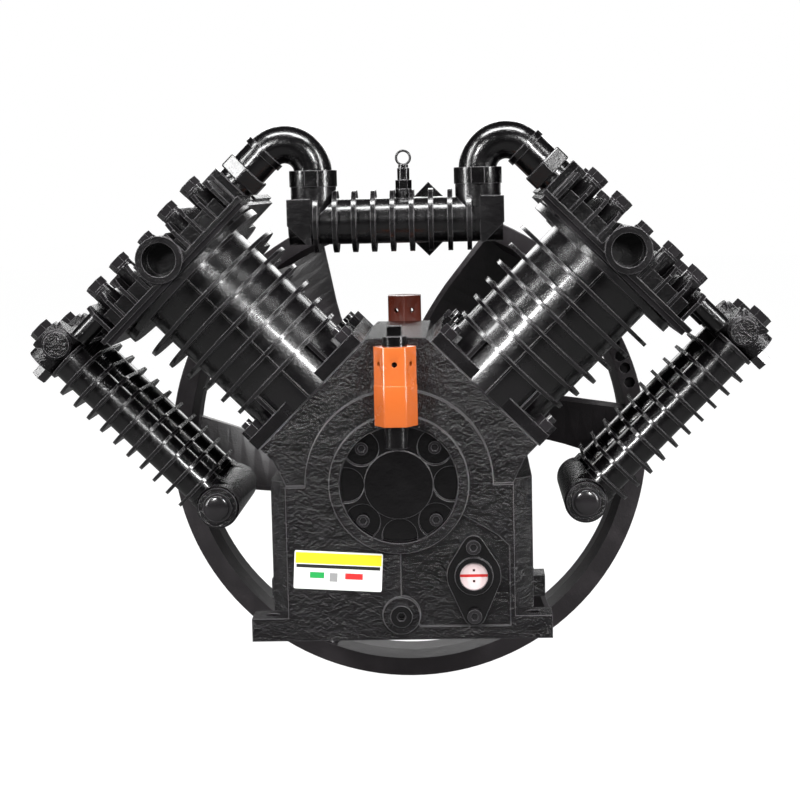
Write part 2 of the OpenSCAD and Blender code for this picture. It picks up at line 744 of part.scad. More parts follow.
module fin_plate(u, t, r) {
    translate([0, low_y, u]) cylinder(h = t, r = r);
    translate([0, high_y, u]) cylinder(h = t, r = r - high_fin_less);
    block(high_fin_less - r, r - high_fin_less, low_y, high_y, u, u + t);
}
module cylinder_block(side) {
    color(paint) on_bank(side) difference() {
        union() {
            translate([0, low_y, block_u0]) cylinder(h = block_l, r = low_r);
            translate([0, high_y, block_u0]) cylinder(h = block_l, r = high_r);
            block(-high_r / 2, high_r / 2, low_y, high_y, block_u0, block_u1);
            block(-block_foot_w, block_foot_w, foot_y0, foot_y1, block_u0, block_u0 + block_foot_t);
            fin_plate(block_u1 - top_flange_t, top_flange_t, fin_top_r);
            for (i = [1 : fin_n - 1])
                fin_plate(fin_first_u - i * fin_pitch, fin_t,
                    fin_top_r - (fin_top_r - fin_low_r) * i / (fin_n - 1));
            for (w = [-block_foot_w / 2, block_foot_w / 2])
                block(w - gusset_t / 2, w + gusset_t / 2, foot_y0 + over, low_y, block_u0,
                    fin_first_u - (fin_n - 1) * fin_pitch);
            block(-gusset_t / 4, gusset_t / 4, low_y - low_r - over, low_y, block_u0, block_u1);
        }
        translate([0, low_y, block_u0 - over]) cylinder(h = block_l + over + over, r = low_bore / 2);
        translate([0, high_y, block_u0 - over]) cylinder(h = block_l + over + over, r = high_bore / 2);
        translate([0, high_y, block_u0 - over]) cylinder(h = high_relief_u - block_u0 + over,
            r = high_r - stud_proud);
        for (w = [-stud_w, stud_w], y = stud_rows)
            translate([w, y, block_u0 - over]) cylinder(h = block_foot_t + over + over, r = stud_r + seat);
    }
}
module cylinder_block_left() {
    cylinder_block(-1);
}
module cylinder_block_right() {
    cylinder_block(1);
}
module base_gaskets() {
    color(gasket_grey) both_banks() difference() {
        block(-block_foot_w, block_foot_w, foot_y0, foot_y1, deck_u, block_u0);
        translate([0, low_y, deck_u - over]) cylinder(h = gasket_t + over + over, r = low_opening_r);
        translate([0, high_y, deck_u - over]) cylinder(h = gasket_t + over + over, r = high_opening_r);
        for (w = [-stud_w, stud_w], y = stud_rows)
            translate([w, y, deck_u - over]) cylinder(h = gasket_t + over + over, r = stud_r + seat);
    }
}
module base_nuts() {
    color(steel) both_banks() for (w = [-stud_w, stud_w], y = stud_rows) translate([w, y, 0]) {
        translate([0, 0, deck_u]) cylinder(h = block_foot_t + gasket_t + nut_h + stud_proud, r = stud_r);
        translate([0, 0, block_u0 + block_foot_t]) hex_head(nut_af, nut_h);
    }
}

// Valve plates, reeds and head gaskets
plate_u0 = block_u1 + top_gap_t;
plate_u1 = plate_u0 + valve_plate_t;
plate_less = 3;
plate_half = head_flange_l / 2 - plate_less;
head_over_front = 85;
head_over_back = 62;
head_y0 = low_y - head_over_front;
head_y1 = high_y + head_over_back;
plate_ring_w = 6;
port_r = 5;
port_ring_share = 0.5;
reed_t = 0.5;
head_bolt_r = 5;
head_bolt_af = 17;
head_bolt_h = 7.5;
head_bolt_w = [62, 32];
head_row_out = [46, 48];
head_mid_shift = 7;
head_rows = [low_y - head_row_out[0], high_y + head_row_out[1]];
head_mid_row = (low_y + high_y) / 2 + head_mid_shift;
bolt_places = concat([for (w = head_bolt_w, s = [-1, 1], y = head_rows) [s * w, y]],
    [for (s = [-1, 1]) [s * head_bolt_w[0], head_mid_row]]);

module plate_outline(inset) {
    r = plate_half - inset;
    translate([-r, head_y0 + plate_less + inset])
        square([r + r, head_y1 - head_y0 - plate_less - plate_less - inset - inset]);
}
module bolt_holes(u0, u1) {
    for (p = bolt_places) translate([p[0], p[1], u0]) cylinder(h = u1 - u0, r = head_bolt_r + seat);
}
module head_gaskets() {
    color(gasket_grey) both_banks() difference() {
        translate([0, 0, block_u1]) linear_extrude(height = top_gap_t) intersection() {
            plate_outline(plate_ring_w + plate_ring_w);
            union() {
                translate([0, low_y]) circle(r = fin_top_r - plate_less);
                translate([0, high_y]) circle(r = fin_top_r - high_fin_less - plate_less);
                translate([high_fin_less - fin_top_r + plate_less, low_y])
                    square([2 * (fin_top_r - high_fin_less - plate_less), high_y - low_y]);
            }
        }
        translate([0, low_y, block_u1 - over]) cylinder(h = top_gap_t + over + over, r = low_bore / 2);
        translate([0, high_y, block_u1 - over]) cylinder(h = top_gap_t + over + over, r = high_bore / 2);
        bolt_holes(block_u1 - over, plate_u0 + over);
    }
}
module valve_plate(side) {
    color(steel) on_bank(side) difference() {
        translate([0, 0, plate_u0]) linear_extrude(height = valve_plate_t) plate_outline(0);
        for (s = [-1, 1]) {
            translate([s * low_bore / 2 * port_ring_share, low_y, plate_u0 - over])
                cylinder(h = valve_plate_t + over + over, r = port_r);
            translate([s * high_bore / 2 * port_ring_share, high_y, plate_u0 - over])
                cylinder(h = valve_plate_t + over + over, r = port_r);
        }
        bolt_holes(plate_u0 - over, plate_u1 + over);
    }
}
module valve_plate_left() {
    valve_plate(-1);
}
module valve_plate_right() {
    valve_plate(1);
}
module reed(w, y, u) {
    translate([w, y, u]) cylinder(h = reed_t, r = port_r + over);
    block(w - port_r / 2, w + port_r / 2, y, y + low_bore / 4, u, u + reed_t);
}
module valve_reeds() {
    color(steel) both_banks() {
        reed(-low_bore / 2 * port_ring_share, low_y, plate_u0 - reed_t);
        reed(-high_bore / 2 * port_ring_share, high_y, plate_u0 - reed_t);
        reed(low_bore / 2 * port_ring_share, low_y, plate_u1);
        reed(high_bore / 2 * port_ring_share, high_y, plate_u1);
    }
}

// Heads and their bolts
head_core_less = 8;
head_core_h = 20;
head_fin_w = [26, 43, 60, 77];
head_fin_cut = 9;
boss_r = 9.5;
boss_proud = 4;
side_boss_l = 14;
feed_boss_w = 1.5;
head_u1 = plate_u1 + head_h;
port_up = 16.5;
port_u = plate_u1 + port_up;
port_pad_h = 24;
port_out = 3;
fin_in = 5;
fin_y0 = head_y0 + fin_in;
fin_y1 = head_y1 - fin_in;
chamber_h = 12;
small_bolt_af = 13;
small_bolt_h = 6;

module head_fin(w) {
    translate([w + head_fin_t / 2, 0, plate_u1]) rotate([0, -90, 0]) linear_extrude(height = head_fin_t)
        polygon([[0, fin_y0], [head_h - head_fin_cut, fin_y0], [head_h, fin_y0 + head_fin_cut],
            [head_h, fin_y1 - head_fin_cut], [head_h - head_fin_cut, fin_y1], [0, fin_y1]]);
}
module head(side) {
    half = head_l / 2;
    color(paint) on_bank(side) difference() {
        union() {
            block(-head_flange_l / 2, head_flange_l / 2, head_y0, head_y1, plate_u1, plate_u1 + head_flange_t);
            block(head_core_less - half, half - head_core_less, fin_y0 + head_core_less,
                fin_y1 - head_core_less,
                plate_u1, plate_u1 + head_core_h);
            for (w = head_fin_w, s = [-1, 1]) head_fin(s * w);
            for (y = barrel_ys) {
                block(-half, half, y - boss_r, y + boss_r, plate_u1, plate_u1 + head_core_h);
                translate([half - side_boss_l, y, feed_u]) rotate([0, 90, 0])
                    cylinder(h = side_boss_l, r = feed_r + feed_boss_w);
            }
            block(-half, side_boss_l - half, discharge_y - elbow_flange / 2, discharge_y + elbow_flange / 2,
                plate_u1,
                elbow_u + elbow_flange / 2);
            for (p = bolt_places) translate([p[0], p[1], plate_u1])
                cylinder(h = head_h + boss_proud, r = boss_r);
            translate([0, head_rows[0], plate_u1]) cylinder(h = head_h + boss_proud, r = boss_r - over);
            block(-intake_boss_d / 2, intake_boss_d / 2, head_y0, low_y, plate_u1, port_u + port_pad_h / 2);
            bar_y(head_y0 - port_out, low_y, intake_boss_d / 2, 0, port_u);
        }
        block(-intake_boss_d, intake_boss_d, head_y0, head_y1, plate_u1 - intake_boss_d, plate_u1);
        block(-head_flange_l, -half, discharge_y - elbow_flange / 2 - seat, discharge_y + elbow_flange / 2 + seat,
            plate_u1 - over, plate_u1 + head_flange_t + over);
        bar_y(head_y0 - port_out - over, head_y0 - port_out + intake_depth, intake_d / 2, 0, port_u);
        for (s = [-1, 1]) {
            block(s * low_bore / 4 - port_r - over, s * low_bore / 4 + port_r + over, low_y - port_r - over,
                low_y + low_bore / 4 + over, plate_u1 - over, plate_u1 + chamber_h);
            block(s * high_bore / 4 - port_r - over, s * high_bore / 4 + port_r + over, high_y - port_r - over,
                high_y + low_bore / 4 + over, plate_u1 - over, plate_u1 + chamber_h);
        }
        bolt_holes(plate_u1 - over, head_u1 + boss_proud + over);
    }
}
module head_left() {
    head(-1);
}
module head_right() {
    head(1);
}
module head_bolts() {
    color(steel) both_banks() {
        for (p = bolt_places) translate([p[0], p[1], 0]) {
            translate([0, 0, plate_u0]) cylinder(h = head_u1 + boss_proud - plate_u0, r = head_bolt_r);
            translate([0, 0, head_u1 + boss_proud]) cylinder(h = over + over, r = boss_r);
            translate([0, 0, head_u1 + boss_proud + over + over]) hex_head(head_bolt_af, head_bolt_h);
        }
        translate([0, head_rows[0], head_u1 + boss_proud]) hex_head(small_bolt_af, small_bolt_h);
    }
}

// Intercoolers
header_u = 102;
cooler_u0 = header_u + header_d / 2;
cooler_fin_t = 3.2;
cooler_fin_u0 = 127;
cooler_fin_less = 3;
cooler_seat_r = 21;
cooler_body_gap = 0.4;
cooler_body_r = 14.5;
cooler_body_in = 22;
cooler_body_out = 19;
cooler_drum_in = 6;
cooler_drum_out = 19;
cooler_collar_in = 3;
cooler_collar_r = 15.5;
cooler_collar_h = 2.5;
cooler_boss_r = 7.1;
cooler_drum_r = 13.8;
cooler_boss_down = 7;
cooler_side_af = 14;
cooler_side_l = 11;
cooler_bar_r = 11;
drum_edge = 2;
header_over = 21;
cap_ring_r = 13.4;
cap_ring_h = 3;
cap_socket_af = 11;
cooler_plug_af = 19;
cooler_plug_h = 8;
feed_u = 303;
feed_r = 9.5;
feed_neck_r = 8;
feed_neck_l = 8;
barrel_ys = [low_y, high_y];

cooler_seat_u = cooler_fin_u0 + cooler_fin_n * cooler_pitch;
cooler_block_u0 = cooler_seat_u + cooler_fin_t + cooler_body_gap;
cooler_mid_u = cooler_block_u0 + cooler_body_r;
cooler_block_u1 = cooler_mid_u + cooler_body_r;

// A plate round both barrels, narrower behind
module cooler_plate(u, front_r, rear_r) {
    translate([cooler_w, low_y, u]) cylinder(h = cooler_fin_t, r = front_r);
    translate([cooler_w, high_y, u]) cylinder(h = cooler_fin_t, r = rear_r);
    translate([cooler_w, 0, u]) linear_extrude(height = cooler_fin_t)
        polygon([[-front_r, low_y], [front_r, low_y], [rear_r, high_y], [-rear_r, high_y]]);
}
module intercooler(side) {
    front_r = cooler_fin_d / 2;
    color(paint) on_bank(side) {
        for (y = barrel_ys) translate([cooler_w, y, cooler_u0])
            cylinder(h = cooler_block_u0 - cooler_u0, r = cooler_d / 2);
        for (i = [0 : cooler_fin_n - 1])
            cooler_plate(cooler_fin_u0 + i * cooler_pitch, front_r, front_r - cooler_fin_less);
        cooler_plate(cooler_seat_u, cooler_seat_r, cooler_seat_r);
    }
}
module intercooler_left() {
    intercooler(-1);
}
module intercooler_right() {
    intercooler(1);
}
// A round body along Y with a chamfered front edge
module drum_y(y0, y1, r, x, z) {
    bar_y(y0 + drum_edge, y1, r, x, z);
    translate([x, y0 + drum_edge, z]) rotate([90, 0, 0]) cylinder(h = drum_edge, r1 = r, r2 = r - drum_edge);
}
module bar_w(w0, w1, r, y, u) {
    translate([w0, y, u]) rotate([0, 90, 0]) cylinder(h = w1 - w0, r = r);
}
module cooler_top_block(side) {
    w_out = cooler_w + cooler_body_out;
    color(paint) on_bank(side) {
        for (y = barrel_ys) {
            bar_w(cooler_w - cooler_body_in, w_out, cooler_body_r, y, cooler_mid_u);
            bar_w(cooler_w, w_out + over, cooler_boss_r, y, cooler_mid_u - cooler_boss_down);
            translate([cooler_w - cooler_collar_in, y, cooler_mid_u])
                cylinder(h = cooler_body_r + cooler_collar_h, r = cooler_collar_r);
        }
        bar_y(low_y, high_y + cooler_drum_out, cooler_bar_r, cooler_w - cooler_drum_in, cooler_mid_u);
        drum_y(low_y - cooler_drum_out, low_y, cooler_drum_r, cooler_w - cooler_drum_in, cooler_mid_u);
    }
}
module cooler_top_block_left() {
    cooler_top_block(-1);
}
module cooler_top_block_right() {
    cooler_top_block(1);
}
module cooler_header(side) {
    y0 = low_y - header_over;
    y1 = high_y + header_over;
    color(paint) on_bank(side) {
        drum_y(y0, y1, header_d / 2, cooler_w, header_u);
        for (y = barrel_ys) translate([cooler_w, y, header_u])
            cylinder(h = cooler_u0 - header_u, r = cooler_d / 2 + over);
    }
}
module cooler_header_left() {
    cooler_header(-1);
}
module cooler_header_right() {
    cooler_header(1);
}
module cooler_plugs() {
    color(steel) both_banks() {
        difference() {
            bar_y(low_y - header_over - cap_ring_h, low_y - header_over, cap_ring_r, cooler_w, header_u);
            hex_y(low_y - header_over - cap_ring_h - over, low_y - header_over - over, cap_socket_af, cooler_w,
                header_u);
        }
        for (y = barrel_ys) {
            translate([cooler_w - cooler_collar_in, y, cooler_block_u1 + cooler_collar_h])
                hex_head(cooler_plug_af, cooler_plug_h);
            translate([cooler_w + cooler_body_out + over, y, cooler_mid_u - cooler_boss_down])
                rotate([0, 90, 0]) rotate([0, 0, 30]) hex_head(cooler_side_af, cooler_side_l);
        }
    }
}
module feed_pipes(side) {
    w0 = head_l / 2;
    color(paint) on_bank(side) for (y = barrel_ys) {
        bar_w(w0, w0 + feed_neck_l + over, feed_neck_r, y, feed_u);
        bar_w(w0 + feed_neck_l, cooler_w - cooler_body_in, feed_r, y, feed_u);
    }
}
module feed_pipes_left() {
    feed_pipes(-1);
}
module feed_pipes_right() {
    feed_pipes(1);
}

// Discharge elbows: out of the head, round the bend and down into the collector
discharge_y = -30;
elbow_up = 21.5;
elbow_u = plate_u1 + elbow_up;
elbow_flange = 42;
elbow_flange_t = 7;
elbow_r = elbow_d / 2;
elbow_bead = 0.6;
bend_x = elbow_x + elbow_bend;
bend_z = (elbow_u - elbow_bend) / cos(bank_angle) - bend_x * tan(bank_angle);
band_out = 2.2;
band_l = 6;
union_h = 15;
union_r = 22;
union_ear = 12;
union_ear_out = 6;
stub_up_l = 3.5;
leg_end = bend_z - elbow_leg;
stub_top = leg_end - union_h / 3;
collector_z = stub_top - stub_up_l - collector_fin_d / 2;

module elbow_half() {
    straight_w0 = bend_x * cos(bank_angle) - bend_z * sin(bank_angle);
    translate([bend_x, discharge_y, crank_h + bend_z]) rotate([90, 0, 0]) rotate([0, 0, 90 - bank_angle])
        rotate_extrude(angle = 90 + bank_angle) translate([elbow_bend, 0]) circle(r = elbow_r - elbow_bead);
    translate([elbow_x, discharge_y, crank_h + leg_end]) cylinder(h = bend_z - leg_end + over, r = elbow_r);
    on_bank(1) bar_w(straight_w0 - band_l / 2, straight_w0 + band_l / 2, elbow_r + band_out, discharge_y, elbow_u);
    on_bank(1) translate([straight_w0 - over, discharge_y, elbow_u]) rotate([0, 90, 0])
        cylinder(h = over - head_l / 2 - straight_w0, r = elbow_r);
    on_bank(1) translate([-head_l / 2 - elbow_flange_t, discharge_y - elbow_flange / 2,
        elbow_u - elbow_flange / 2])
        cube([elbow_flange_t, elbow_flange, elbow_flange]);
}
module discharge_elbow_left() {
    color(paint) mirror([1, 0, 0]) elbow_half();
}
module discharge_elbow_right() {
    color(paint) elbow_half();
}
module elbow_unions() {
    color(paint) for (s = [-1, 1]) translate([s * elbow_x, discharge_y, crank_h + stub_top]) {
        difference() {
            union() {
                cylinder(h = union_h, r = union_r);
                translate([-union_ear / 2, -union_r - union_ear_out / 2, 0])
                    cube([union_ear, union_r, union_h]);
            }
            translate([0, 0, union_h / 3]) cylinder(h = union_h, r = elbow_r + seat);
        }
    }
}

// Collector, outlet flange and safety valve
collector_mid = -2.8;
collector_fin_t = 4.4;
collector_end = 99.5;
collector_end_w = 22;
collector_cut = 18;
collector_side = 3;
stub_r2 = 21;
outlet_x = 29.5;
outlet_side = 49;
outlet_t = 10;
outlet_bore_r = 13;
outlet_neck_r = 19;
outlet_out = 30;
outlet_y0 = discharge_y + outlet_out;
outlet_depth = 24;
outlet_hole_r = 4.5;
outlet_blind = 2;
valve_x = 7.5;
valve_af = 13;
valve_hex_h = 8;
valve_body_r = 5.6;
valve_body_h = 11;
valve_stem_r = 2;
valve_ring_r = 6.4;
valve_wire_r = 1.1;
valve_cap_h = 3;

module end_block(s) {
    half = collector_d / 2;
    along_y(discharge_y - half, discharge_y + half)
        translate([s * collector_end, crank_h + collector_z])
        polygon([[0, half], [0, -collector_side], [-s * collector_cut, -half],
            [-s * collector_end_w, -half], [-s * collector_end_w, half]]);
}
module collector() {
    color(paint) difference() {
        union() {
            bar_x(-collector_end + over, collector_end - over, collector_d / 2, discharge_y,
                crank_h + collector_z);
            for (i = [0 : collector_fin_n - 1])
                translate([collector_mid + (i - (collector_fin_n - 1) / 2) * collector_pitch -
                    collector_fin_t / 2, 0, 0])
                    bar_x(0, collector_fin_t, collector_fin_d / 2, discharge_y, crank_h + collector_z);
            for (s = [-1, 1]) {
                end_block(s);
                translate([s * elbow_x, discharge_y, crank_h + collector_z])
                    cylinder(h = stub_top - collector_z, r = stub_r2);
            }
            bar_y(discharge_y, outlet_y0, outlet_neck_r, outlet_x, crank_h + collector_z);
            translate([valve_x, discharge_y, crank_h + collector_z])
                cylinder(h = collector_fin_d / 2, r = valve_af / 2 + over);
        }
        bar_y(outlet_y0 - outlet_depth / 2, outlet_y0 + over, outlet_bore_r, outlet_x, crank_h + collector_z);
    }
}
module outlet_flange() {
    diag = outlet_side / 2 - outlet_hole_r - over;
    color(paint) difference() {
        translate([outlet_x, 0, crank_h + collector_z]) rotate([0, 45, 0])
            translate([-outlet_side / 2, outlet_y0, -outlet_side / 2])
                cube([outlet_side, outlet_t, outlet_side]);
        bar_y(outlet_y0 - over, outlet_y0 + outlet_t + over, outlet_bore_r, outlet_x, crank_h + collector_z);
        for (a = [0 : 90 : 270]) {
            p = ring_place(diag * sqrt(2), a);
            bar_y(outlet_y0 + outlet_blind, outlet_y0 + outlet_t + over, outlet_hole_r, outlet_x + p[0],
                crank_h + collector_z + p[1]);
        }
    }
}
valve_z = crank_h + collector_z + collector_fin_d / 2;
module safety_valve_body() {
    color(bronze) translate([valve_x, discharge_y, valve_z]) difference() {
        union() {
            hex_head(valve_af, valve_hex_h);
            cylinder(h = valve_hex_h + valve_body_h, r = valve_body_r);
        }
        translate([0, 0, valve_hex_h]) cylinder(h = valve_body_h + over, r = valve_stem_r + seat);
    }
}
module safety_valve_ring() {
    top = valve_hex_h + valve_body_h;
    color(steel) translate([valve_x, discharge_y, valve_z]) {
        translate([0, 0, valve_hex_h + over]) cylinder(h = valve_body_h + valve_cap_h - over, r = valve_stem_r);
        translate([0, 0, top + seat]) cylinder(h = valve_cap_h - seat, r = valve_body_r - over);
        translate([0, 0, top + valve_cap_h + valve_ring_r]) rotate([90, 0, 0]) rotate_extrude()
            translate([valve_ring_r, 0]) circle(r = valve_wire_r, $fn = 24);
    }
}

// Pistons and connecting rods
piston_gap = 0.3;
ring_t = 2.5;
ring_n = 3;
ring_depth = 3.5;
piston_wall = 6;
piston_crown = 8;
ring_first = 7;
ring_step = 5.5;
rod_offset = big_end_w / 2 + over / 2;
pin_u = crank_r * cos(bank_angle);
rod_lean = asin(pin_u / rod_l);
wrist_reach = rod_l * cos(rod_lean);
big_end_r = 30;
small_end_r = 15;
small_end_w = 20;
shank_top_w = 12;
shank_low_w = 16;
shank_t = 8;
dipper_l = 10;
dipper_w = 6;

// phase 1 for a pin above the crank axis, -1 for one below it
function wrist_u(phase) = phase * pin_u + wrist_reach;

module piston(side, bore, y, phase) {
    r = bore / 2 - piston_gap;
    on_bank(side) translate([0, y, wrist_u(phase)]) {
        color(alloy) difference() {
            translate([0, 0, piston_top - piston_h]) cylinder(h = piston_h, r = r);
            translate([0, 0, piston_top - piston_h - over])
                cylinder(h = piston_h - piston_crown + over, r = r - piston_wall);
            for (i = [0 : ring_n - 1]) translate([0, 0, piston_top - ring_first - i * ring_step - ring_t])
                difference() {
                    cylinder(h = ring_t, r = r + over);
                    translate([0, 0, -over]) cylinder(h = ring_t + over + over, r = r - ring_depth);
                }
            translate([0, bore, 0]) rotate([90, 0, 0]) cylinder(h = bore + bore, r = wrist_pin_d / 2);
        }
        color(alloy) for (s = [-1, 1]) translate([0, s * (small_end_w / 2 + over), 0]) rotate([-s * 90, 0, 0])
            difference() {
                intersection() {
                    cylinder(h = r - piston_wall / 2 - small_end_w / 2 - over, r = wrist_pin_d / 2 + race_t);
                    translate([-bore, -bore, -small_end_w / 2 - over])
                        cube([bore + bore, bore + bore, r - over]);
                }
                translate([0, 0, -over]) cylinder(h = bore, r = wrist_pin_d / 2);
            }
        color(steel) for (i = [0 : ring_n - 1]) translate([0, 0,
            piston_top - ring_first - i * ring_step - ring_t + running])
            difference() {
                cylinder(h = ring_t - running - running, r = bore / 2 - running);
                translate([0, 0, -over]) cylinder(h = ring_t + over + over, r = r - ring_depth + running);
            }
        color(steel) translate([0, r - piston_wall / 2, 0]) rotate([90, 0, 0])
            cylinder(h = r + r - piston_wall, r = wrist_pin_d / 2 - running / 2);
    }
}
module rod(side, y, phase) {
    off = side * rod_offset;
    on_bank(side) translate([0, y, wrist_u(phase)]) rotate([0, phase * rod_lean, 0]) {
        color(alloy) difference() {
            union() {
                translate([0, small_end_w / 2, 0]) rotate([90, 0, 0])
                    cylinder(h = small_end_w, r = small_end_r);
                translate([0, off + big_end_w / 2, -rod_l]) rotate([90, 0, 0])
                    cylinder(h = big_end_w, r = big_end_r);
                translate([0, off / 2 + shank_t / 2, 0]) rotate([90, 0, 0]) linear_extrude(height = shank_t)
                    polygon([[-shank_top_w / 2, 0], [shank_top_w / 2, 0], [shank_low_w / 2, -rod_l],
                        [-shank_low_w / 2, -rod_l]]);
                translate([-dipper_w / 2, off - dipper_w / 2, -rod_l - big_end_r - dipper_l])
                    cube([dipper_w, dipper_w, dipper_l + over]);
            }
            translate([0, small_end_w, 0]) rotate([90, 0, 0])
                cylinder(h = small_end_w * 2, r = wrist_pin_d / 2 + running / 2);
            translate([0, off + big_end_w, -rod_l]) rotate([90, 0, 0])
                cylinder(h = big_end_w * 2, r = crank_pin_d / 2 + running);
        }
        color(steel) translate([0, off + big_end_w / 2, -rod_l]) rotate([90, 0, 0])
            cylinder(h = big_end_w, r = crank_pin_d / 2);
    }
}
module piston_low_left() {
    piston(-1, low_bore, low_y, 1);
}
module piston_low_right() {
    piston(1, low_bore, low_y, 1);
}
module piston_high_left() {
    piston(-1, high_bore, high_y, -1);
}
module piston_high_right() {
    piston(1, high_bore, high_y, -1);
}
module rod_low_left() {
    rod(-1, low_y, 1);
}
module rod_low_right() {
    rod(1, low_y, 1);
}
module rod_high_left() {
    rod(-1, high_y, -1);
}
module rod_high_right() {
    rod(1, high_y, -1);
}

crankcase();
front_cover();
front_cover_bolts();
rear_cover();
rear_cover_bolts();
rear_seal();
front_bearing();
rear_bearing();
crankshaft();
flywheel();
flywheel_key();
flywheel_bolt();
sight_glass_flange();
sight_glass_lens();
sight_glass_bolts();
drain_plug();
breather_tube_front();
breather_sleeve_front();
breather_plug_front();
breather_tube_rear();
breather_sleeve_rear();
base_gaskets();
base_nuts();
head_gaskets();
valve_reeds();
head_bolts();
cooler_plugs();
elbow_unions();
cylinder_block_left();
cylinder_block_right();
valve_plate_left();
valve_plate_right();
head_left();
head_right();
intercooler_left();
intercooler_right();
cooler_top_block_left();
cooler_top_block_right();
cooler_header_left();
cooler_header_right();
feed_pipes_left();
feed_pipes_right();
discharge_elbow_left();
discharge_elbow_right();
collector();
outlet_flange();
safety_valve_body();
safety_valve_ring();
piston_low_left();
piston_low_right();
piston_high_left();
piston_high_right();
rod_low_left();
rod_low_right();
rod_high_left();
rod_high_right();
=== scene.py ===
"""Looks of the air compressor pump head.

The castings are painted black, the breather sleeves orange. A sight glass and a plain label plate stand
on the crankcase's front. Lengths are in metres, X to the right, Y away from the front cover and Z up.
"""

import logging
import math
from dataclasses import dataclass
from enum import Enum
from typing import Iterable

import bpy
from mathutils import Matrix, Vector

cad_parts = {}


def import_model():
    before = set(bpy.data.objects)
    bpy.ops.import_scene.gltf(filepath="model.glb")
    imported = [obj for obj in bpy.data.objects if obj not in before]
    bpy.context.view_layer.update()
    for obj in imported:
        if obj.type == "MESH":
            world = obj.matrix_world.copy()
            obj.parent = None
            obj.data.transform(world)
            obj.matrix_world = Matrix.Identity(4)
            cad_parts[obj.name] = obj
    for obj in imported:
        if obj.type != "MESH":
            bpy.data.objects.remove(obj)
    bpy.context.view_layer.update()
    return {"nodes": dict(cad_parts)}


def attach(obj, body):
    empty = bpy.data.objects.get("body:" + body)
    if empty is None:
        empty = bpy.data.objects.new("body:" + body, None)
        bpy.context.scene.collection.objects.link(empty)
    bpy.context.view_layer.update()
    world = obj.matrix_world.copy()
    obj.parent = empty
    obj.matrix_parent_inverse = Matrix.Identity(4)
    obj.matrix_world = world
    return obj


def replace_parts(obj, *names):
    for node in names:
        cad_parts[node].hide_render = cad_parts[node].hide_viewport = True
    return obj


MM = 0.001
CRANK_AXIS_Z = 143.0 * MM

log = logging.getLogger("pump_head")

Colour = tuple[float, float, float]
Place = tuple[float, float, float]


class Body(str, Enum):
    """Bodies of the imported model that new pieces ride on."""

    HOUSING = "housing"


class Skin(Enum):
    """Surface textures that a finish can carry, with the size and depth of their grain."""

    SAND_CAST = (460.0, 0.0011)
    FINE_CAST = (520.0, 0.0002)
    SMOOTH = (900.0, 0.00007)

    @property
    def size(self) -> float:
        """Noise scale of the grain, per metre."""
        return self.value[0]

    @property
    def depth(self) -> float:
        """Height of the grain in metres."""
        return self.value[1]


# Shader node groups


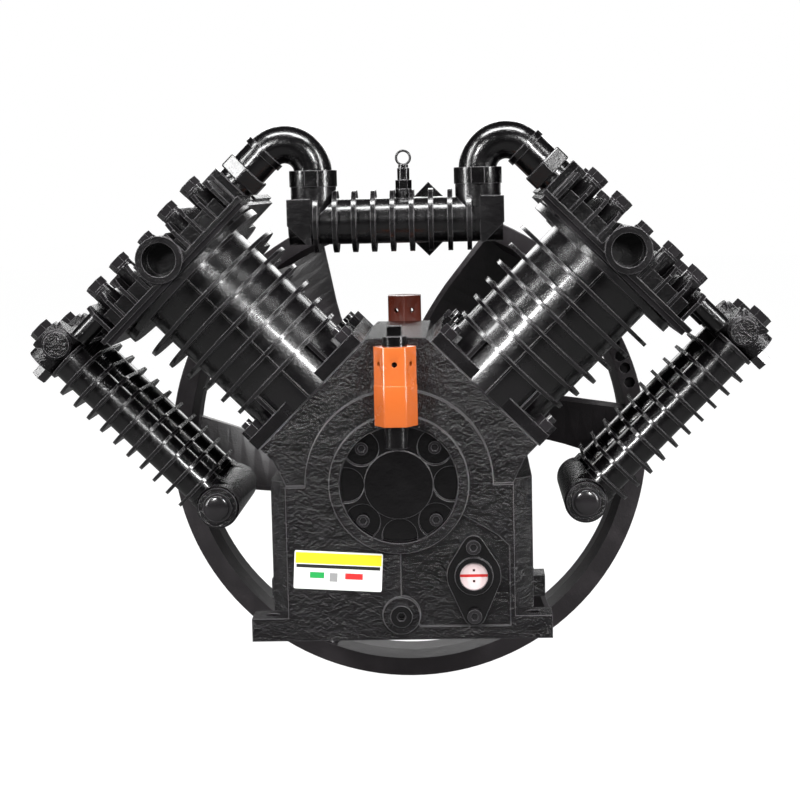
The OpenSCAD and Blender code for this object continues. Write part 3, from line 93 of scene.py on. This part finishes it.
class Effects:
    """Builds the shared shader effects once and hands them out."""

    GRAIN_DETAIL = 3.0
    GRAIN_ROUGHNESS = 0.62
    LUMP_DETAIL = 2.0
    LUMP_SCALE_SHARE = 0.24
    LUMP_HEIGHT = 1.6
    PATCH_SCALE = 38.0
    PATCH_DETAIL = 4.0
    GLOSS_SPREAD = 0.22
    DUST_RANGE = (0.5, 0.75)
    # How far the rounded normal turns before the painted edge highlight starts and where it is full.
    EDGE_HIGHLIGHT_RANGE = (0.995, 0.86)

    _made: dict[str, bpy.types.NodeTree] = {}

    @classmethod
    def _group(
        cls, name: str, inputs: dict[str, tuple[str, float]], outputs: dict[str, str]
    ) -> bpy.types.NodeTree:
        """Starts a node group with its sockets.

        Args:
            name: Name of the group.
            inputs: Socket name to its type and its default, which only numbers take.
            outputs: Socket name to its type.

        Returns:
            The new group, with its Group Input and Group Output nodes.
        """
        tree = bpy.data.node_groups.new(name, "ShaderNodeTree")
        for label, (kind, value) in inputs.items():
            socket = tree.interface.new_socket(name=label, in_out="INPUT", socket_type=kind)
            if kind == "NodeSocketFloat":
                socket.default_value = value
        for label, kind in outputs.items():
            tree.interface.new_socket(name=label, in_out="OUTPUT", socket_type=kind)
        tree.nodes.new("NodeGroupInput").name = "in"
        tree.nodes.new("NodeGroupOutput").name = "out"
        cls._made[name] = tree
        return tree

    @staticmethod
    def _math(tree: bpy.types.NodeTree, operation: str, *others: float) -> bpy.types.Node:
        """Adds a Math node.

        Args:
            tree: The group that it goes into.
            operation: What it does.
            others: Values of its second input and of those after it.

        Returns:
            The new node.
        """
        made = tree.nodes.new("ShaderNodeMath")
        made.operation = operation
        for index, value in enumerate(others, start=1):
            made.inputs[index].default_value = value
        return made

    @staticmethod
    def _noise(tree: bpy.types.NodeTree, detail: float) -> bpy.types.Node:
        """Adds a Noise Texture node that follows the group's Place.

        Args:
            tree: The group that it goes into.
            detail: Its detail.

        Returns:
            The new node.
        """
        made = tree.nodes.new("ShaderNodeTexNoise")
        made.inputs["Detail"].default_value = detail
        tree.links.new(tree.nodes["in"].outputs["Place"], made.inputs["Vector"])
        return made

    @classmethod
    def casting(cls) -> bpy.types.NodeTree:
        """Rough cast skin under paint: pits, lumps and the gloss that follows them.

        Returns:
            A group that turns a place into a height, a roughness and a dust mask.
        """
        if "casting_skin" in cls._made:
            return cls._made["casting_skin"]
        tree = cls._group(
            "casting_skin",
            {
                "Place": ("NodeSocketVector", 0.0),
                "Grain": ("NodeSocketFloat", 300.0),
                "Gloss": ("NodeSocketFloat", 0.3),
            },
            {"Height": "NodeSocketFloat", "Roughness": "NodeSocketFloat", "Dust": "NodeSocketFloat"},
        )
        nodes, links = tree.nodes, tree.links
        start, end = nodes["in"], nodes["out"]
        fine = cls._noise(tree, cls.GRAIN_DETAIL)
        fine.inputs["Roughness"].default_value = cls.GRAIN_ROUGHNESS
        lumps = cls._noise(tree, cls.LUMP_DETAIL)
        wide = cls._math(tree, "MULTIPLY", cls.LUMP_SCALE_SHARE)
        mixed = cls._math(tree, "MULTIPLY_ADD", cls.LUMP_HEIGHT)
        patches = cls._noise(tree, cls.PATCH_DETAIL)
        patches.inputs["Scale"].default_value = cls.PATCH_SCALE
        spread = cls._math(tree, "MULTIPLY_ADD", cls.GLOSS_SPREAD, -cls.GLOSS_SPREAD / 2)
        gloss = cls._math(tree, "ADD")
        dust = nodes.new("ShaderNodeMapRange")
        dust.inputs["From Min"].default_value, dust.inputs["From Max"].default_value = cls.DUST_RANGE
        links.new(start.outputs["Grain"], fine.inputs["Scale"])
        links.new(start.outputs["Grain"], wide.inputs[0])
        links.new(wide.outputs[0], lumps.inputs["Scale"])
        links.new(lumps.outputs["Fac"], mixed.inputs[0])
        links.new(fine.outputs["Fac"], mixed.inputs[2])
        links.new(mixed.outputs[0], end.inputs["Height"])
        links.new(patches.outputs["Fac"], spread.inputs[0])
        links.new(spread.outputs[0], gloss.inputs[0])
        links.new(start.outputs["Gloss"], gloss.inputs[1])
        links.new(gloss.outputs[0], end.inputs["Roughness"])
        links.new(patches.outputs["Fac"], dust.inputs["Value"])
        links.new(dust.outputs["Result"], end.inputs["Dust"])
        return tree

    @classmethod
    def painted_edge_highlight(cls) -> bpy.types.NodeTree:
        """A painted highlight: the rim's lighter colour laid on the paint where an edge is rounded.

        Returns:
            A group that lays the rim's colour over the paint as a painted highlight, by how far the rounded
            normal turns.
        """
        if "painted_edge_highlight" in cls._made:
            return cls._made["painted_edge_highlight"]
        tree = cls._group(
            "painted_edge_highlight",
            {
                "Paint": ("NodeSocketColor", 0.0),
                "Rim": ("NodeSocketColor", 0.0),
                "Rounded": ("NodeSocketVector", 0.0),
            },
            {"Color": "NodeSocketColor"},
        )
        nodes, links = tree.nodes, tree.links
        start, end = nodes["in"], nodes["out"]
        shape = nodes.new("ShaderNodeNewGeometry")
        turned = nodes.new("ShaderNodeVectorMath")
        turned.operation = "DOT_PRODUCT"
        share = nodes.new("ShaderNodeMapRange")
        share.inputs["From Min"].default_value, share.inputs["From Max"].default_value = cls.EDGE_HIGHLIGHT_RANGE
        laid = nodes.new("ShaderNodeMix")
        laid.data_type = "RGBA"
        links.new(start.outputs["Rounded"], turned.inputs[0])
        links.new(shape.outputs["Normal"], turned.inputs[1])
        links.new(turned.outputs["Value"], share.inputs["Value"])
        links.new(share.outputs["Result"], laid.inputs["Factor"])
        links.new(start.outputs["Paint"], laid.inputs["A"])
        links.new(start.outputs["Rim"], laid.inputs["B"])
        links.new(laid.outputs["Result"], end.inputs["Color"])
        return tree

    @classmethod
    def block(cls) -> bpy.types.NodeTree:
        """A printed block on a flat plate.

        Returns:
            A group that is 1 inside an upright box round a middle, across and up.
        """
        if "printed_block" in cls._made:
            return cls._made["printed_block"]
        tree = cls._group(
            "printed_block",
            {
                "Across": ("NodeSocketFloat", 0.0),
                "Up": ("NodeSocketFloat", 0.0),
                "Middle Across": ("NodeSocketFloat", 0.0),
                "Middle Up": ("NodeSocketFloat", 0.0),
                "Half Width": ("NodeSocketFloat", 0.01),
                "Half Height": ("NodeSocketFloat", 0.01),
            },
            {"Mask": "NodeSocketFloat"},
        )
        nodes, links = tree.nodes, tree.links
        sides = []
        for value, middle, half in (
            ("Across", "Middle Across", "Half Width"),
            ("Up", "Middle Up", "Half Height"),
        ):
            away = cls._math(tree, "SUBTRACT")
            size = cls._math(tree, "ABSOLUTE")
            inside = cls._math(tree, "LESS_THAN")
            links.new(nodes["in"].outputs[value], away.inputs[0])
            links.new(nodes["in"].outputs[middle], away.inputs[1])
            links.new(away.outputs[0], size.inputs[0])
            links.new(size.outputs[0], inside.inputs[0])
            links.new(nodes["in"].outputs[half], inside.inputs[1])
            sides.append(inside)
        both = cls._math(tree, "MULTIPLY")
        links.new(sides[0].outputs[0], both.inputs[0])
        links.new(sides[1].outputs[0], both.inputs[1])
        links.new(both.outputs[0], nodes["out"].inputs["Mask"])
        return tree


# Finishes


@dataclass(frozen=True)
class Finish:
    """A finish whose grain, gloss and dust change over the surface.

    Edges look rounded by edge_mm millimetres and carry a painted highlight in the rim's colour there.
    """

    name: str
    colour: Colour
    dusty: Colour
    gloss: float = 0.3
    metallic: float = 0.0
    coat: float = 0.0
    coat_roughness: float = 0.12
    skin: Skin = Skin.SAND_CAST
    edge_mm: float = 0.8
    edge_samples: int = 4
    # Colour of the painted highlight on rounded edges.
    rim: Colour = (0.09, 0.085, 0.09)

    def material(self) -> bpy.types.Material:
        """Builds the finish's material once.

        Returns:
            The material of this finish.
        """
        found = bpy.data.materials.get(self.name)
        if found is not None:
            return found
        made = bpy.data.materials.new(self.name)
        made.use_nodes = True
        nodes, links = made.node_tree.nodes, made.node_tree.links
        shader = nodes["Principled BSDF"]
        shader.inputs["Metallic"].default_value = self.metallic
        shader.inputs["Coat Weight"].default_value = self.coat
        shader.inputs["Coat Roughness"].default_value = self.coat_roughness
        place = nodes.new("ShaderNodeTexCoord")
        skin = nodes.new("ShaderNodeGroup")
        skin.node_tree = Effects.casting()
        skin.inputs["Grain"].default_value = self.skin.size
        skin.inputs["Gloss"].default_value = self.gloss
        tint = nodes.new("ShaderNodeMix")
        tint.data_type = "RGBA"
        tint.inputs["A"].default_value = (*self.colour, 1.0)
        tint.inputs["B"].default_value = (*self.dusty, 1.0)
        edge = nodes.new("ShaderNodeBevel")
        edge.samples = self.edge_samples
        edge.inputs["Radius"].default_value = self.edge_mm * MM
        # Painted highlight: the rim colour is laid over the paint on rounded edges.
        rim = nodes.new("ShaderNodeGroup")
        rim.node_tree = Effects.painted_edge_highlight()
        rim.inputs["Rim"].default_value = (*self.rim, 1.0)
        bump = nodes.new("ShaderNodeBump")
        bump.inputs["Strength"].default_value = 1.0
        bump.inputs["Distance"].default_value = self.skin.depth
        links.new(place.outputs["Object"], skin.inputs["Place"])
        links.new(skin.outputs["Dust"], tint.inputs["Factor"])
        links.new(edge.outputs["Normal"], rim.inputs["Rounded"])
        links.new(tint.outputs["Result"], rim.inputs["Paint"])
        links.new(rim.outputs["Color"], shader.inputs["Base Color"])
        links.new(skin.outputs["Roughness"], shader.inputs["Roughness"])
        links.new(skin.outputs["Height"], bump.inputs["Height"])
        links.new(edge.outputs["Normal"], bump.inputs["Normal"])
        links.new(bump.outputs["Normal"], shader.inputs["Normal"])
        return made


CAST_BLACK = Finish("cast_black_paint", (0.004, 0.0034, 0.004), (0.008, 0.007, 0.008),
                    gloss=0.13, coat=0.12, edge_mm=1.4)
FIN_BLACK = Finish("fin_black_paint", (0.003, 0.0026, 0.003), (0.006, 0.0052, 0.006),
                   gloss=0.25, coat=0.5, skin=Skin.FINE_CAST, edge_mm=1.2)
COVER_BLACK = Finish("cover_black_paint", (0.001, 0.0008, 0.001), (0.002, 0.0017, 0.002),
                     gloss=0.2, coat=0.4, skin=Skin.FINE_CAST, edge_mm=1.2)
BOLT_BLACK = Finish("bolt_black_paint", (0.012, 0.011, 0.012), (0.02, 0.018, 0.02),
                    gloss=0.18, coat=0.6, skin=Skin.SMOOTH)
WHEEL_BLACK = Finish("wheel_black_paint", (0.018, 0.015, 0.017), (0.028, 0.023, 0.026),
                     gloss=0.42, coat=0.1, skin=Skin.FINE_CAST, edge_mm=1.0)
SLEEVE_ORANGE = Finish("front_sleeve_paint", (0.5, 0.11, 0.02), (0.45, 0.1, 0.018),
                       gloss=0.24, coat=0.6, skin=Skin.SMOOTH, rim=(0.55, 0.15, 0.04))
# The rear sleeve is the same orange moulding as the front one; its darker colour is painted shade.
SLEEVE_SHADED = Finish("rear_sleeve_painted_shade", (0.08, 0.014, 0.007), (0.07, 0.012, 0.006),
                       coat=0.4, skin=Skin.SMOOTH, rim=(0.1, 0.02, 0.01))
STEEL = Finish("machined_steel", (0.45, 0.45, 0.46), (0.36, 0.36, 0.36),
               gloss=0.32, metallic=1.0, skin=Skin.SMOOTH, edge_mm=0.4, rim=(0.6, 0.6, 0.6))
ALLOY = Finish("cast_alloy", (0.6, 0.6, 0.61), (0.5, 0.5, 0.5),
               gloss=0.42, metallic=1.0, skin=Skin.FINE_CAST, edge_mm=0.5, rim=(0.7, 0.7, 0.7))
GASKET = Finish("gasket_sheet", (0.03, 0.03, 0.032), (0.05, 0.05, 0.05),
                gloss=0.6, skin=Skin.FINE_CAST, edge_mm=0.2)


@dataclass(frozen=True)
class PrintedBlock:
    """One coloured block of a print, by its middle and half sizes in millimetres."""

    colour: Colour
    middle: tuple[float, float]
    half: tuple[float, float]


@dataclass(frozen=True)
class Print:
    """A flat print of coloured blocks on a plate that faces forward."""

    name: str
    ground: Colour
    blocks: tuple[PrintedBlock, ...]
    centre: Place
    turn: float
    gloss: float = 0.35
    coat: float = 0.3

    def material(self) -> bpy.types.Material:
        """Builds the print's material.

        Returns:
            A material whose colour follows the place on the plate.
        """
        made = bpy.data.materials.new(self.name)
        made.use_nodes = True
        nodes, links = made.node_tree.nodes, made.node_tree.links
        shader = nodes["Principled BSDF"]
        shader.inputs["Coat Weight"].default_value = self.coat
        place = nodes.new("ShaderNodeTexCoord")
        centred = nodes.new("ShaderNodeMapping")
        centred.vector_type = "TEXTURE"
        centred.inputs["Location"].default_value = self.centre
        centred.inputs["Rotation"].default_value = (0.0, self.turn, 0.0)
        axes = nodes.new("ShaderNodeSeparateXYZ")
        skin = nodes.new("ShaderNodeGroup")
        skin.node_tree = Effects.casting()
        skin.inputs["Grain"].default_value = Skin.SMOOTH.size
        skin.inputs["Gloss"].default_value = self.gloss
        links.new(place.outputs["Object"], centred.inputs["Vector"])
        links.new(centred.outputs["Vector"], axes.inputs["Vector"])
        links.new(place.outputs["Object"], skin.inputs["Place"])
        links.new(skin.outputs["Roughness"], shader.inputs["Roughness"])
        below = None
        for block in self.blocks:
            mask = nodes.new("ShaderNodeGroup")
            mask.node_tree = Effects.block()
            mask.inputs["Middle Across"].default_value = block.middle[0] * MM
            mask.inputs["Middle Up"].default_value = block.middle[1] * MM
            mask.inputs["Half Width"].default_value = block.half[0] * MM
            mask.inputs["Half Height"].default_value = block.half[1] * MM
            links.new(axes.outputs["X"], mask.inputs["Across"])
            links.new(axes.outputs["Z"], mask.inputs["Up"])
            layer = nodes.new("ShaderNodeMix")
            layer.data_type = "RGBA"
            layer.inputs["A"].default_value = (*self.ground, 1.0)
            layer.inputs["B"].default_value = (*block.colour, 1.0)
            if below is not None:
                links.new(below.outputs["Result"], layer.inputs["A"])
            links.new(mask.outputs["Mask"], layer.inputs["Factor"])
            below = layer
        links.new(below.outputs["Result"], shader.inputs["Base Color"])
        return made


# Modelling bench


class Bench:
    """Shared ways to start, shape and finish a mesh by operators."""

    @staticmethod
    def clear() -> None:
        """Leaves nothing selected."""
        bpy.ops.object.select_all(action="DESELECT")

    @staticmethod
    def settle(piece: bpy.types.Object) -> bpy.types.Object:
        """Puts a piece's place into its mesh, so that its object sits at the origin.

        Args:
            piece: The piece to settle.

        Returns:
            The same piece.
        """
        Bench.clear()
        piece.select_set(True)
        bpy.context.view_layer.objects.active = piece
        bpy.ops.object.transform_apply(location=True, rotation=True, scale=True)
        return piece

    @staticmethod
    def name(piece: bpy.types.Object, title: str, material: bpy.types.Material) -> bpy.types.Object:
        """Names a piece and gives it its one material.

        Args:
            piece: The piece.
            title: Its name.
            material: Its material.

        Returns:
            The same piece.
        """
        piece.name = title
        piece.data.name = title
        piece.data.materials.clear()
        piece.data.materials.append(material)
        return piece


def on_bank(side: int, along: float, across: float, depth: float) -> Place:
    """Finds a place beside a bank of cylinders, which leans 45 degrees outward.

    Args:
        side: -1 for the left bank, 1 for the right one.
        along: How far up the bank from the crank's axis.
        across: How far outward from the bank's middle.
        depth: The place's Y.

    Returns:
        The place in the frame of the model.
    """
    half = math.sqrt(0.5)
    return side * half * (along + across), depth, CRANK_AXIS_Z + half * (along - across)


def side_name(side: int) -> str:
    """Names a side, left for -1 and right for 1."""
    return "left" if side < 0 else "right"


# Sub-assemblies


@dataclass
class PaintShop:
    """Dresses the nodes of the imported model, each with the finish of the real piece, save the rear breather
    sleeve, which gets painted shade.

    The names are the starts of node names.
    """

    CASTINGS: tuple[str, ...] = ("crankcase", "cooler_header", "cooler_top_block")
    FINNED: tuple[str, ...] = ("head_left", "head_right", "collector", "cylinder_block", "intercooler")
    BOLTS: tuple[str, ...] = (
        "front_cover_bolts", "rear_cover_bolts", "sight_glass_bolts", "base_nuts", "head_bolts",
        "cooler_plugs", "valve_plate",
    )
    STEELS: tuple[str, ...] = (
        "crankshaft", "flywheel_key", "flywheel_bolt", "front_bearing", "rear_bearing", "valve_reeds",
    )
    ALLOYS: tuple[str, ...] = ("piston_", "rod_")
    GASKETS: tuple[str, ...] = ("rear_seal", "base_gaskets", "head_gaskets")

    def finish_for(self, node: str) -> Finish:
        """Picks the finish of a node by its name.

        Args:
            node: Name of the CAD node.

        Returns:
            The finish that the real piece has, or painted shade for the rear breather sleeve: covers and
            fittings take what no other rule does.
        """
        order: tuple[tuple[tuple[str, ...], Finish], ...] = (
            (self.BOLTS, BOLT_BLACK),
            (self.GASKETS, GASKET),
            (self.STEELS, STEEL),
            (self.ALLOYS, ALLOY),
            # The rear sleeve takes the front sleeve's orange darkened as painted shade.
            (("breather_sleeve_rear",), SLEEVE_SHADED),
            (("breather_sleeve",), SLEEVE_ORANGE),
            (("flywheel",), WHEEL_BLACK),
            (self.FINNED, FIN_BLACK),
            (self.CASTINGS, CAST_BLACK),
        )
        for starts, finish in order:
            if node.startswith(starts):
                return finish
        return COVER_BLACK

    def dress(self, nodes: dict[str, bpy.types.Object]) -> None:
        """Gives every CAD node its material.

        Args:
            nodes: The CAD nodes by name.
        """
        for name, node in nodes.items():
            material = self.finish_for(name).material()
            if not node.material_slots:
                node.data.materials.append(material)
            for place in node.material_slots:
                place.material = material


@dataclass
class SightGlass:
    """The oil window: a pale disc with a level line and two dots behind the glass."""

    centre: Place = (66 * MM, -110 * MM, 59 * MM)
    line: Colour = (0.55, 0.03, 0.03)
    ground: Colour = (0.75, 0.6, 0.6)
    dot: Colour = (0.05, 0.02, 0.02)

    def dress(self, lens: bpy.types.Object) -> None:
        """Paints the window's pattern on the lens.

        Args:
            lens: The CAD node of the window.
        """
        print_ = Print(
            "sight_window",
            self.ground,
            (
                PrintedBlock(self.line, (0.0, 0.3), (13.0, 1.3)),
                PrintedBlock(self.dot, (0.0, 5.2), (1.1, 1.1)),
                PrintedBlock(self.dot, (0.0, -4.8), (1.1, 1.1)),
            ),
            self.centre,
            0.0,
            gloss=0.12,
        )
        material = print_.material()
        for place in lens.material_slots:
            place.material = material


@dataclass
class LabelPlate:
    """A plain coloured plate on the front of the crankcase, with no words on it."""

    centre: Place = (-56.7 * MM, -105 * MM, 64.3 * MM)
    width: float = 80 * MM
    height: float = 35 * MM
    thick: float = 0.35 * MM
    turn: float = math.radians(3.4)
    corner: float = 1.6 * MM
    corner_segments: int = 5
    white: Colour = (0.8, 0.8, 0.78)
    yellow: Colour = (0.85, 0.68, 0.02)
    black: Colour = (0.015, 0.015, 0.015)
    green: Colour = (0.02, 0.35, 0.08)
    grey: Colour = (0.3, 0.3, 0.3)
    red: Colour = (0.7, 0.03, 0.03)

    def build(self) -> bpy.types.Object:
        """Makes the plate from a bevelled sheet.

        Returns:
            The finished plate.
        """
        Bench.clear()
        bpy.ops.mesh.primitive_cube_add(size=1.0, location=(0.0, 0.0, 0.0))
        plate = bpy.context.object
        plate.scale = (self.width, self.thick, self.height)
        Bench.settle(plate)
        bpy.ops.object.mode_set(mode="EDIT")
        bpy.ops.mesh.select_all(action="DESELECT")
        bpy.ops.mesh.select_mode(type="EDGE")
        bpy.ops.object.mode_set(mode="OBJECT")
        for edge in plate.data.edges:
            ends = [plate.data.vertices[i].co for i in edge.vertices]
            edge.select = abs(ends[0].y - ends[1].y) > self.thick / 2
        bpy.ops.object.mode_set(mode="EDIT")
        bpy.ops.mesh.bevel(offset=self.corner, segments=self.corner_segments)
        bpy.ops.object.mode_set(mode="OBJECT")
        plate.rotation_euler = (0.0, self.turn, 0.0)
        plate.location = (self.centre[0], self.centre[1] - self.thick / 2, self.centre[2])
        Bench.settle(plate)
        design = Print(
            "label_print",
            self.white,
            (
                PrintedBlock(self.yellow, (0.0, 11.0), (39.0, 5.0)),
                PrintedBlock(self.black, (0.0, 3.6), (38.0, 1.6)),
                PrintedBlock(self.green, (-19.0, -4.5), (6.5, 2.8)),
                PrintedBlock(self.grey, (-4.0, -6.0), (3.6, 4.0)),
                PrintedBlock(self.red, (14.5, -4.5), (8.0, 2.8)),
            ),
            self.centre,
            self.turn,
        )
        Bench.name(plate, "label_plate", design.material())
        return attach(plate, Body.HOUSING.value)


@dataclass
class RoundedSleeve:
    """A breather sleeve with soft rounded edges, in place of the sharp CAD one."""

    node: str
    finish: Finish
    radius: float = 1.8 * MM
    segments: int = 4
    weld: float = 0.02 * MM
    flat_angle: float = math.radians(1.0)
    rounded_angle: float = math.radians(24.0)
    smooth_angle: float = math.radians(50.0)

    def build(self, nodes: dict[str, bpy.types.Object]) -> bpy.types.Object:
        """Copies the CAD sleeve and rounds its edges.

        Args:
            nodes: The CAD nodes by name.

        Returns:
            The finished sleeve.
        """
        Bench.clear()
        source = nodes[self.node]
        source.select_set(True)
        bpy.context.view_layer.objects.active = source
        bpy.ops.object.duplicate()
        sleeve = bpy.context.object
        sleeve.data = sleeve.data.copy()
        world = sleeve.matrix_world.copy()
        sleeve.parent = None
        sleeve.matrix_world = world
        Bench.settle(sleeve)
        bpy.ops.object.mode_set(mode="EDIT")
        bpy.ops.mesh.select_all(action="SELECT")
        bpy.ops.mesh.remove_doubles(threshold=self.weld)
        bpy.ops.mesh.dissolve_limited(angle_limit=self.flat_angle)
        bpy.ops.object.mode_set(mode="OBJECT")
        rounding = sleeve.modifiers.new("rounding", "BEVEL")
        rounding.width = self.radius
        rounding.segments = self.segments
        rounding.limit_method = "ANGLE"
        rounding.angle_limit = self.rounded_angle
        bpy.ops.object.modifier_apply(modifier=rounding.name)
        bpy.ops.object.shade_smooth_by_angle(angle=self.smooth_angle)
        Bench.name(sleeve, f"{self.node}_rounded", self.finish.material())
        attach(sleeve, Body.HOUSING.value)
        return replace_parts(sleeve, self.node)


@dataclass
class ElbowNut:
    """The hexagonal union nut on the leg of a discharge elbow, beside the head."""

    side: int
    along: float = 296.6 * MM
    across: float = -99.0 * MM
    depth: float = -30.0 * MM
    radius: float = 23.5 * MM
    length: float = 15.0 * MM
    lean: float = math.radians(135.0)
    edge: float = 1.6 * MM
    edge_segments: int = 3

    def build(self) -> bpy.types.Object:
        """Makes the nut from a six sided prism with soft edges.

        Returns:
            The finished nut.
        """
        Bench.clear()
        place = on_bank(self.side, self.along, self.across, self.depth)
        bpy.ops.mesh.primitive_cylinder_add(vertices=6, radius=self.radius, depth=self.length, location=place)
        nut = bpy.context.object
        nut.rotation_euler = (0.0, self.side * self.lean, 0.0)
        Bench.settle(nut)
        bpy.ops.object.mode_set(mode="EDIT")
        bpy.ops.mesh.select_all(action="SELECT")
        bpy.ops.mesh.bevel(offset=self.edge, segments=self.edge_segments)
        bpy.ops.object.mode_set(mode="OBJECT")
        Bench.name(nut, f"elbow_nut_{side_name(self.side)}", COVER_BLACK.material())
        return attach(nut, Body.HOUSING.value)


@dataclass
class HeaderCap:
    """The domed cap on the front end of an intercooler's bottom header."""

    side: int
    along: float = 102.0 * MM
    across: float = 139.0 * MM
    front: float = -64.0 * MM
    radius: float = 11.5 * MM
    rise: float = 3.0 * MM
    segments: int = 48
    rings: int = 24

    def build(self) -> bpy.types.Object:
        """Makes the cap from a flattened ball.

        Returns:
            The finished cap.
        """
        Bench.clear()
        bpy.ops.mesh.primitive_uv_sphere_add(
            segments=self.segments, ring_count=self.rings, radius=self.radius
        )
        cap = bpy.context.object
        cap.scale = (1.0, self.rise / self.radius, 1.0)
        cap.location = on_bank(self.side, self.along, self.across, self.front)
        Bench.settle(cap)
        bpy.ops.object.shade_smooth()
        Bench.name(cap, f"header_dome_{side_name(self.side)}", BOLT_BLACK.material())
        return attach(cap, Body.HOUSING.value)


@dataclass(frozen=True)
class Lamp:
    """One soft lamp, by where it hangs, the width and height of its face and its power in watts."""

    name: str
    at: Place
    face: tuple[float, float]
    power: float

    def hang(self, aim: Place) -> None:
        """Hangs the lamp.

        Args:
            aim: What it points at.
        """
        data = bpy.data.lights.new(self.name, "AREA")
        data.shape = "RECTANGLE"
        data.size, data.size_y = self.face
        data.energy = self.power
        lamp = bpy.data.objects.new(self.name, data)
        bpy.context.scene.collection.objects.link(lamp)
        lamp.location = self.at
        lamp.rotation_euler = (Vector(aim) - Vector(self.at)).to_track_quat("-Z", "Y").to_euler()


@dataclass
class Studio:
    """Floor, lights, background and camera."""

    LAMPS: tuple[Lamp, ...] = (
        Lamp("left_box", (-1.5, -0.8, 0.9), (0.2, 1.5), 30.0),
        Lamp("right_box", (1.5, -0.8, 0.8), (0.2, 1.5), 30.0),
        Lamp("top_box", (0.0, -0.5, 1.7), (1.6, 0.28), 40.0),
        Lamp("back_box", (0.0, 1.6, 1.0), (1.8, 0.8), 16.0),
        Lamp("left_spot", (-0.75, -1.8, 1.0), (0.2, 0.3), 18.0),
        Lamp("right_spot", (0.75, -1.8, 1.0), (0.2, 0.3), 18.0),
    )

    camera_at: Place = (68 * MM, -1793 * MM, 408 * MM)
    looks_at: Place = (2.7 * MM, -105 * MM, 219 * MM)
    roll: float = math.radians(1.28)
    focal_px: float = 1900.0
    picture_px: float = 800.0
    sensor_mm: float = 36.0
    lamps_aim: Place = (0.0, 0.0, 0.22)
    floor_z: float = -0.13
    floor_size: float = 24.0
    floor_grey: float = 0.1
    floor_seen: float = 0.97
    ambient: float = 0.25
    mirrored: float = 0.04

    def floor(self) -> None:
        """Lays a wide pale floor that keeps the object's shadow."""
        Bench.clear()
        bpy.ops.mesh.primitive_plane_add(size=self.floor_size, location=(0.0, 0.0, self.floor_z))
        floor = bpy.context.object
        floor.name = "studio_floor"
        material = bpy.data.materials.new("studio_floor")
        material.use_nodes = True
        nodes, links = material.node_tree.nodes, material.node_tree.links
        nodes.remove(nodes["Principled BSDF"])
        end = nodes["Material Output"]
        matt = nodes.new("ShaderNodeBsdfDiffuse")
        matt.inputs["Color"].default_value = (*[self.floor_grey] * 3, 1.0)
        glow = nodes.new("ShaderNodeEmission")
        both = nodes.new("ShaderNodeAddShader")
        path = nodes.new("ShaderNodeLightPath")
        lift = nodes.new("ShaderNodeMath")
        lift.operation = "MULTIPLY"
        lift.inputs[1].default_value = self.floor_seen
        links.new(path.outputs["Is Camera Ray"], lift.inputs[0])
        links.new(lift.outputs[0], glow.inputs["Strength"])
        links.new(matt.outputs[0], both.inputs[0])
        links.new(glow.outputs[0], both.inputs[1])
        links.new(both.outputs[0], end.inputs["Surface"])
        floor.data.materials.append(material)

    def world(self) -> None:
        """Makes a background that the camera sees as white, and that lights gloss and shade dimly."""
        world = bpy.data.worlds.new("studio_world")
        bpy.context.scene.world = world
        world.use_nodes = True
        nodes, links = world.node_tree.nodes, world.node_tree.links
        path = nodes.new("ShaderNodeLightPath")
        seen = nodes.new("ShaderNodeMath")
        seen.operation = "MULTIPLY_ADD"
        seen.inputs[1].default_value = 1.0 - self.ambient
        seen.inputs[2].default_value = self.ambient
        dimmed = nodes.new("ShaderNodeMath")
        dimmed.operation = "MULTIPLY_ADD"
        dimmed.inputs[1].default_value = self.mirrored - self.ambient
        links.new(path.outputs["Is Camera Ray"], seen.inputs[0])
        links.new(path.outputs["Is Glossy Ray"], dimmed.inputs[0])
        links.new(seen.outputs[0], dimmed.inputs[2])
        links.new(dimmed.outputs[0], nodes["Background"].inputs["Strength"])
        nodes["Background"].inputs["Color"].default_value = (1.0, 1.0, 1.0, 1.0)

    def camera(self) -> None:
        """Sets the camera as the photograph was taken."""
        data = bpy.data.cameras.new("studio_camera")
        data.sensor_width = self.sensor_mm
        data.lens = data.sensor_width * self.focal_px / self.picture_px
        camera = bpy.data.objects.new("studio_camera", data)
        bpy.context.scene.collection.objects.link(camera)
        camera.location = self.camera_at
        ahead = (Vector(self.looks_at) - Vector(self.camera_at)).normalized()
        level = ahead.to_track_quat("-Z", "Y").to_matrix()
        camera.rotation_euler = (level @ Matrix.Rotation(-self.roll, 3, "Z")).to_euler()
        bpy.context.scene.camera = camera

    def build(self) -> None:
        """Sets up the whole studio."""
        bpy.context.scene.view_settings.view_transform = "Standard"
        self.floor()
        self.world()
        for lamp in self.LAMPS:
            lamp.hang(self.lamps_aim)
        self.camera()


def report(pieces: Iterable[bpy.types.Object]) -> None:
    """Logs each new piece.

    Args:
        pieces: The new pieces.
    """
    for piece in pieces:
        log.info("%s: %d faces", piece.name, len(piece.data.polygons))


def main() -> None:
    """Builds the dressed pump head."""
    logging.basicConfig(level=logging.INFO)
    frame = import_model()
    Bench.clear()
    PaintShop().dress(frame["nodes"])
    SightGlass().dress(frame["nodes"]["sight_glass_lens"])
    pieces = [
        LabelPlate().build(),
        RoundedSleeve("breather_sleeve_front", SLEEVE_ORANGE).build(frame["nodes"]),
        # The rear sleeve carries painted shade.
        RoundedSleeve("breather_sleeve_rear", SLEEVE_SHADED).build(frame["nodes"]),
    ]
    for side in (-1, 1):
        pieces += [ElbowNut(side).build(), HeaderCap(side).build()]
    report(pieces)
    Studio().build()


if __name__ == "__main__":
    main()
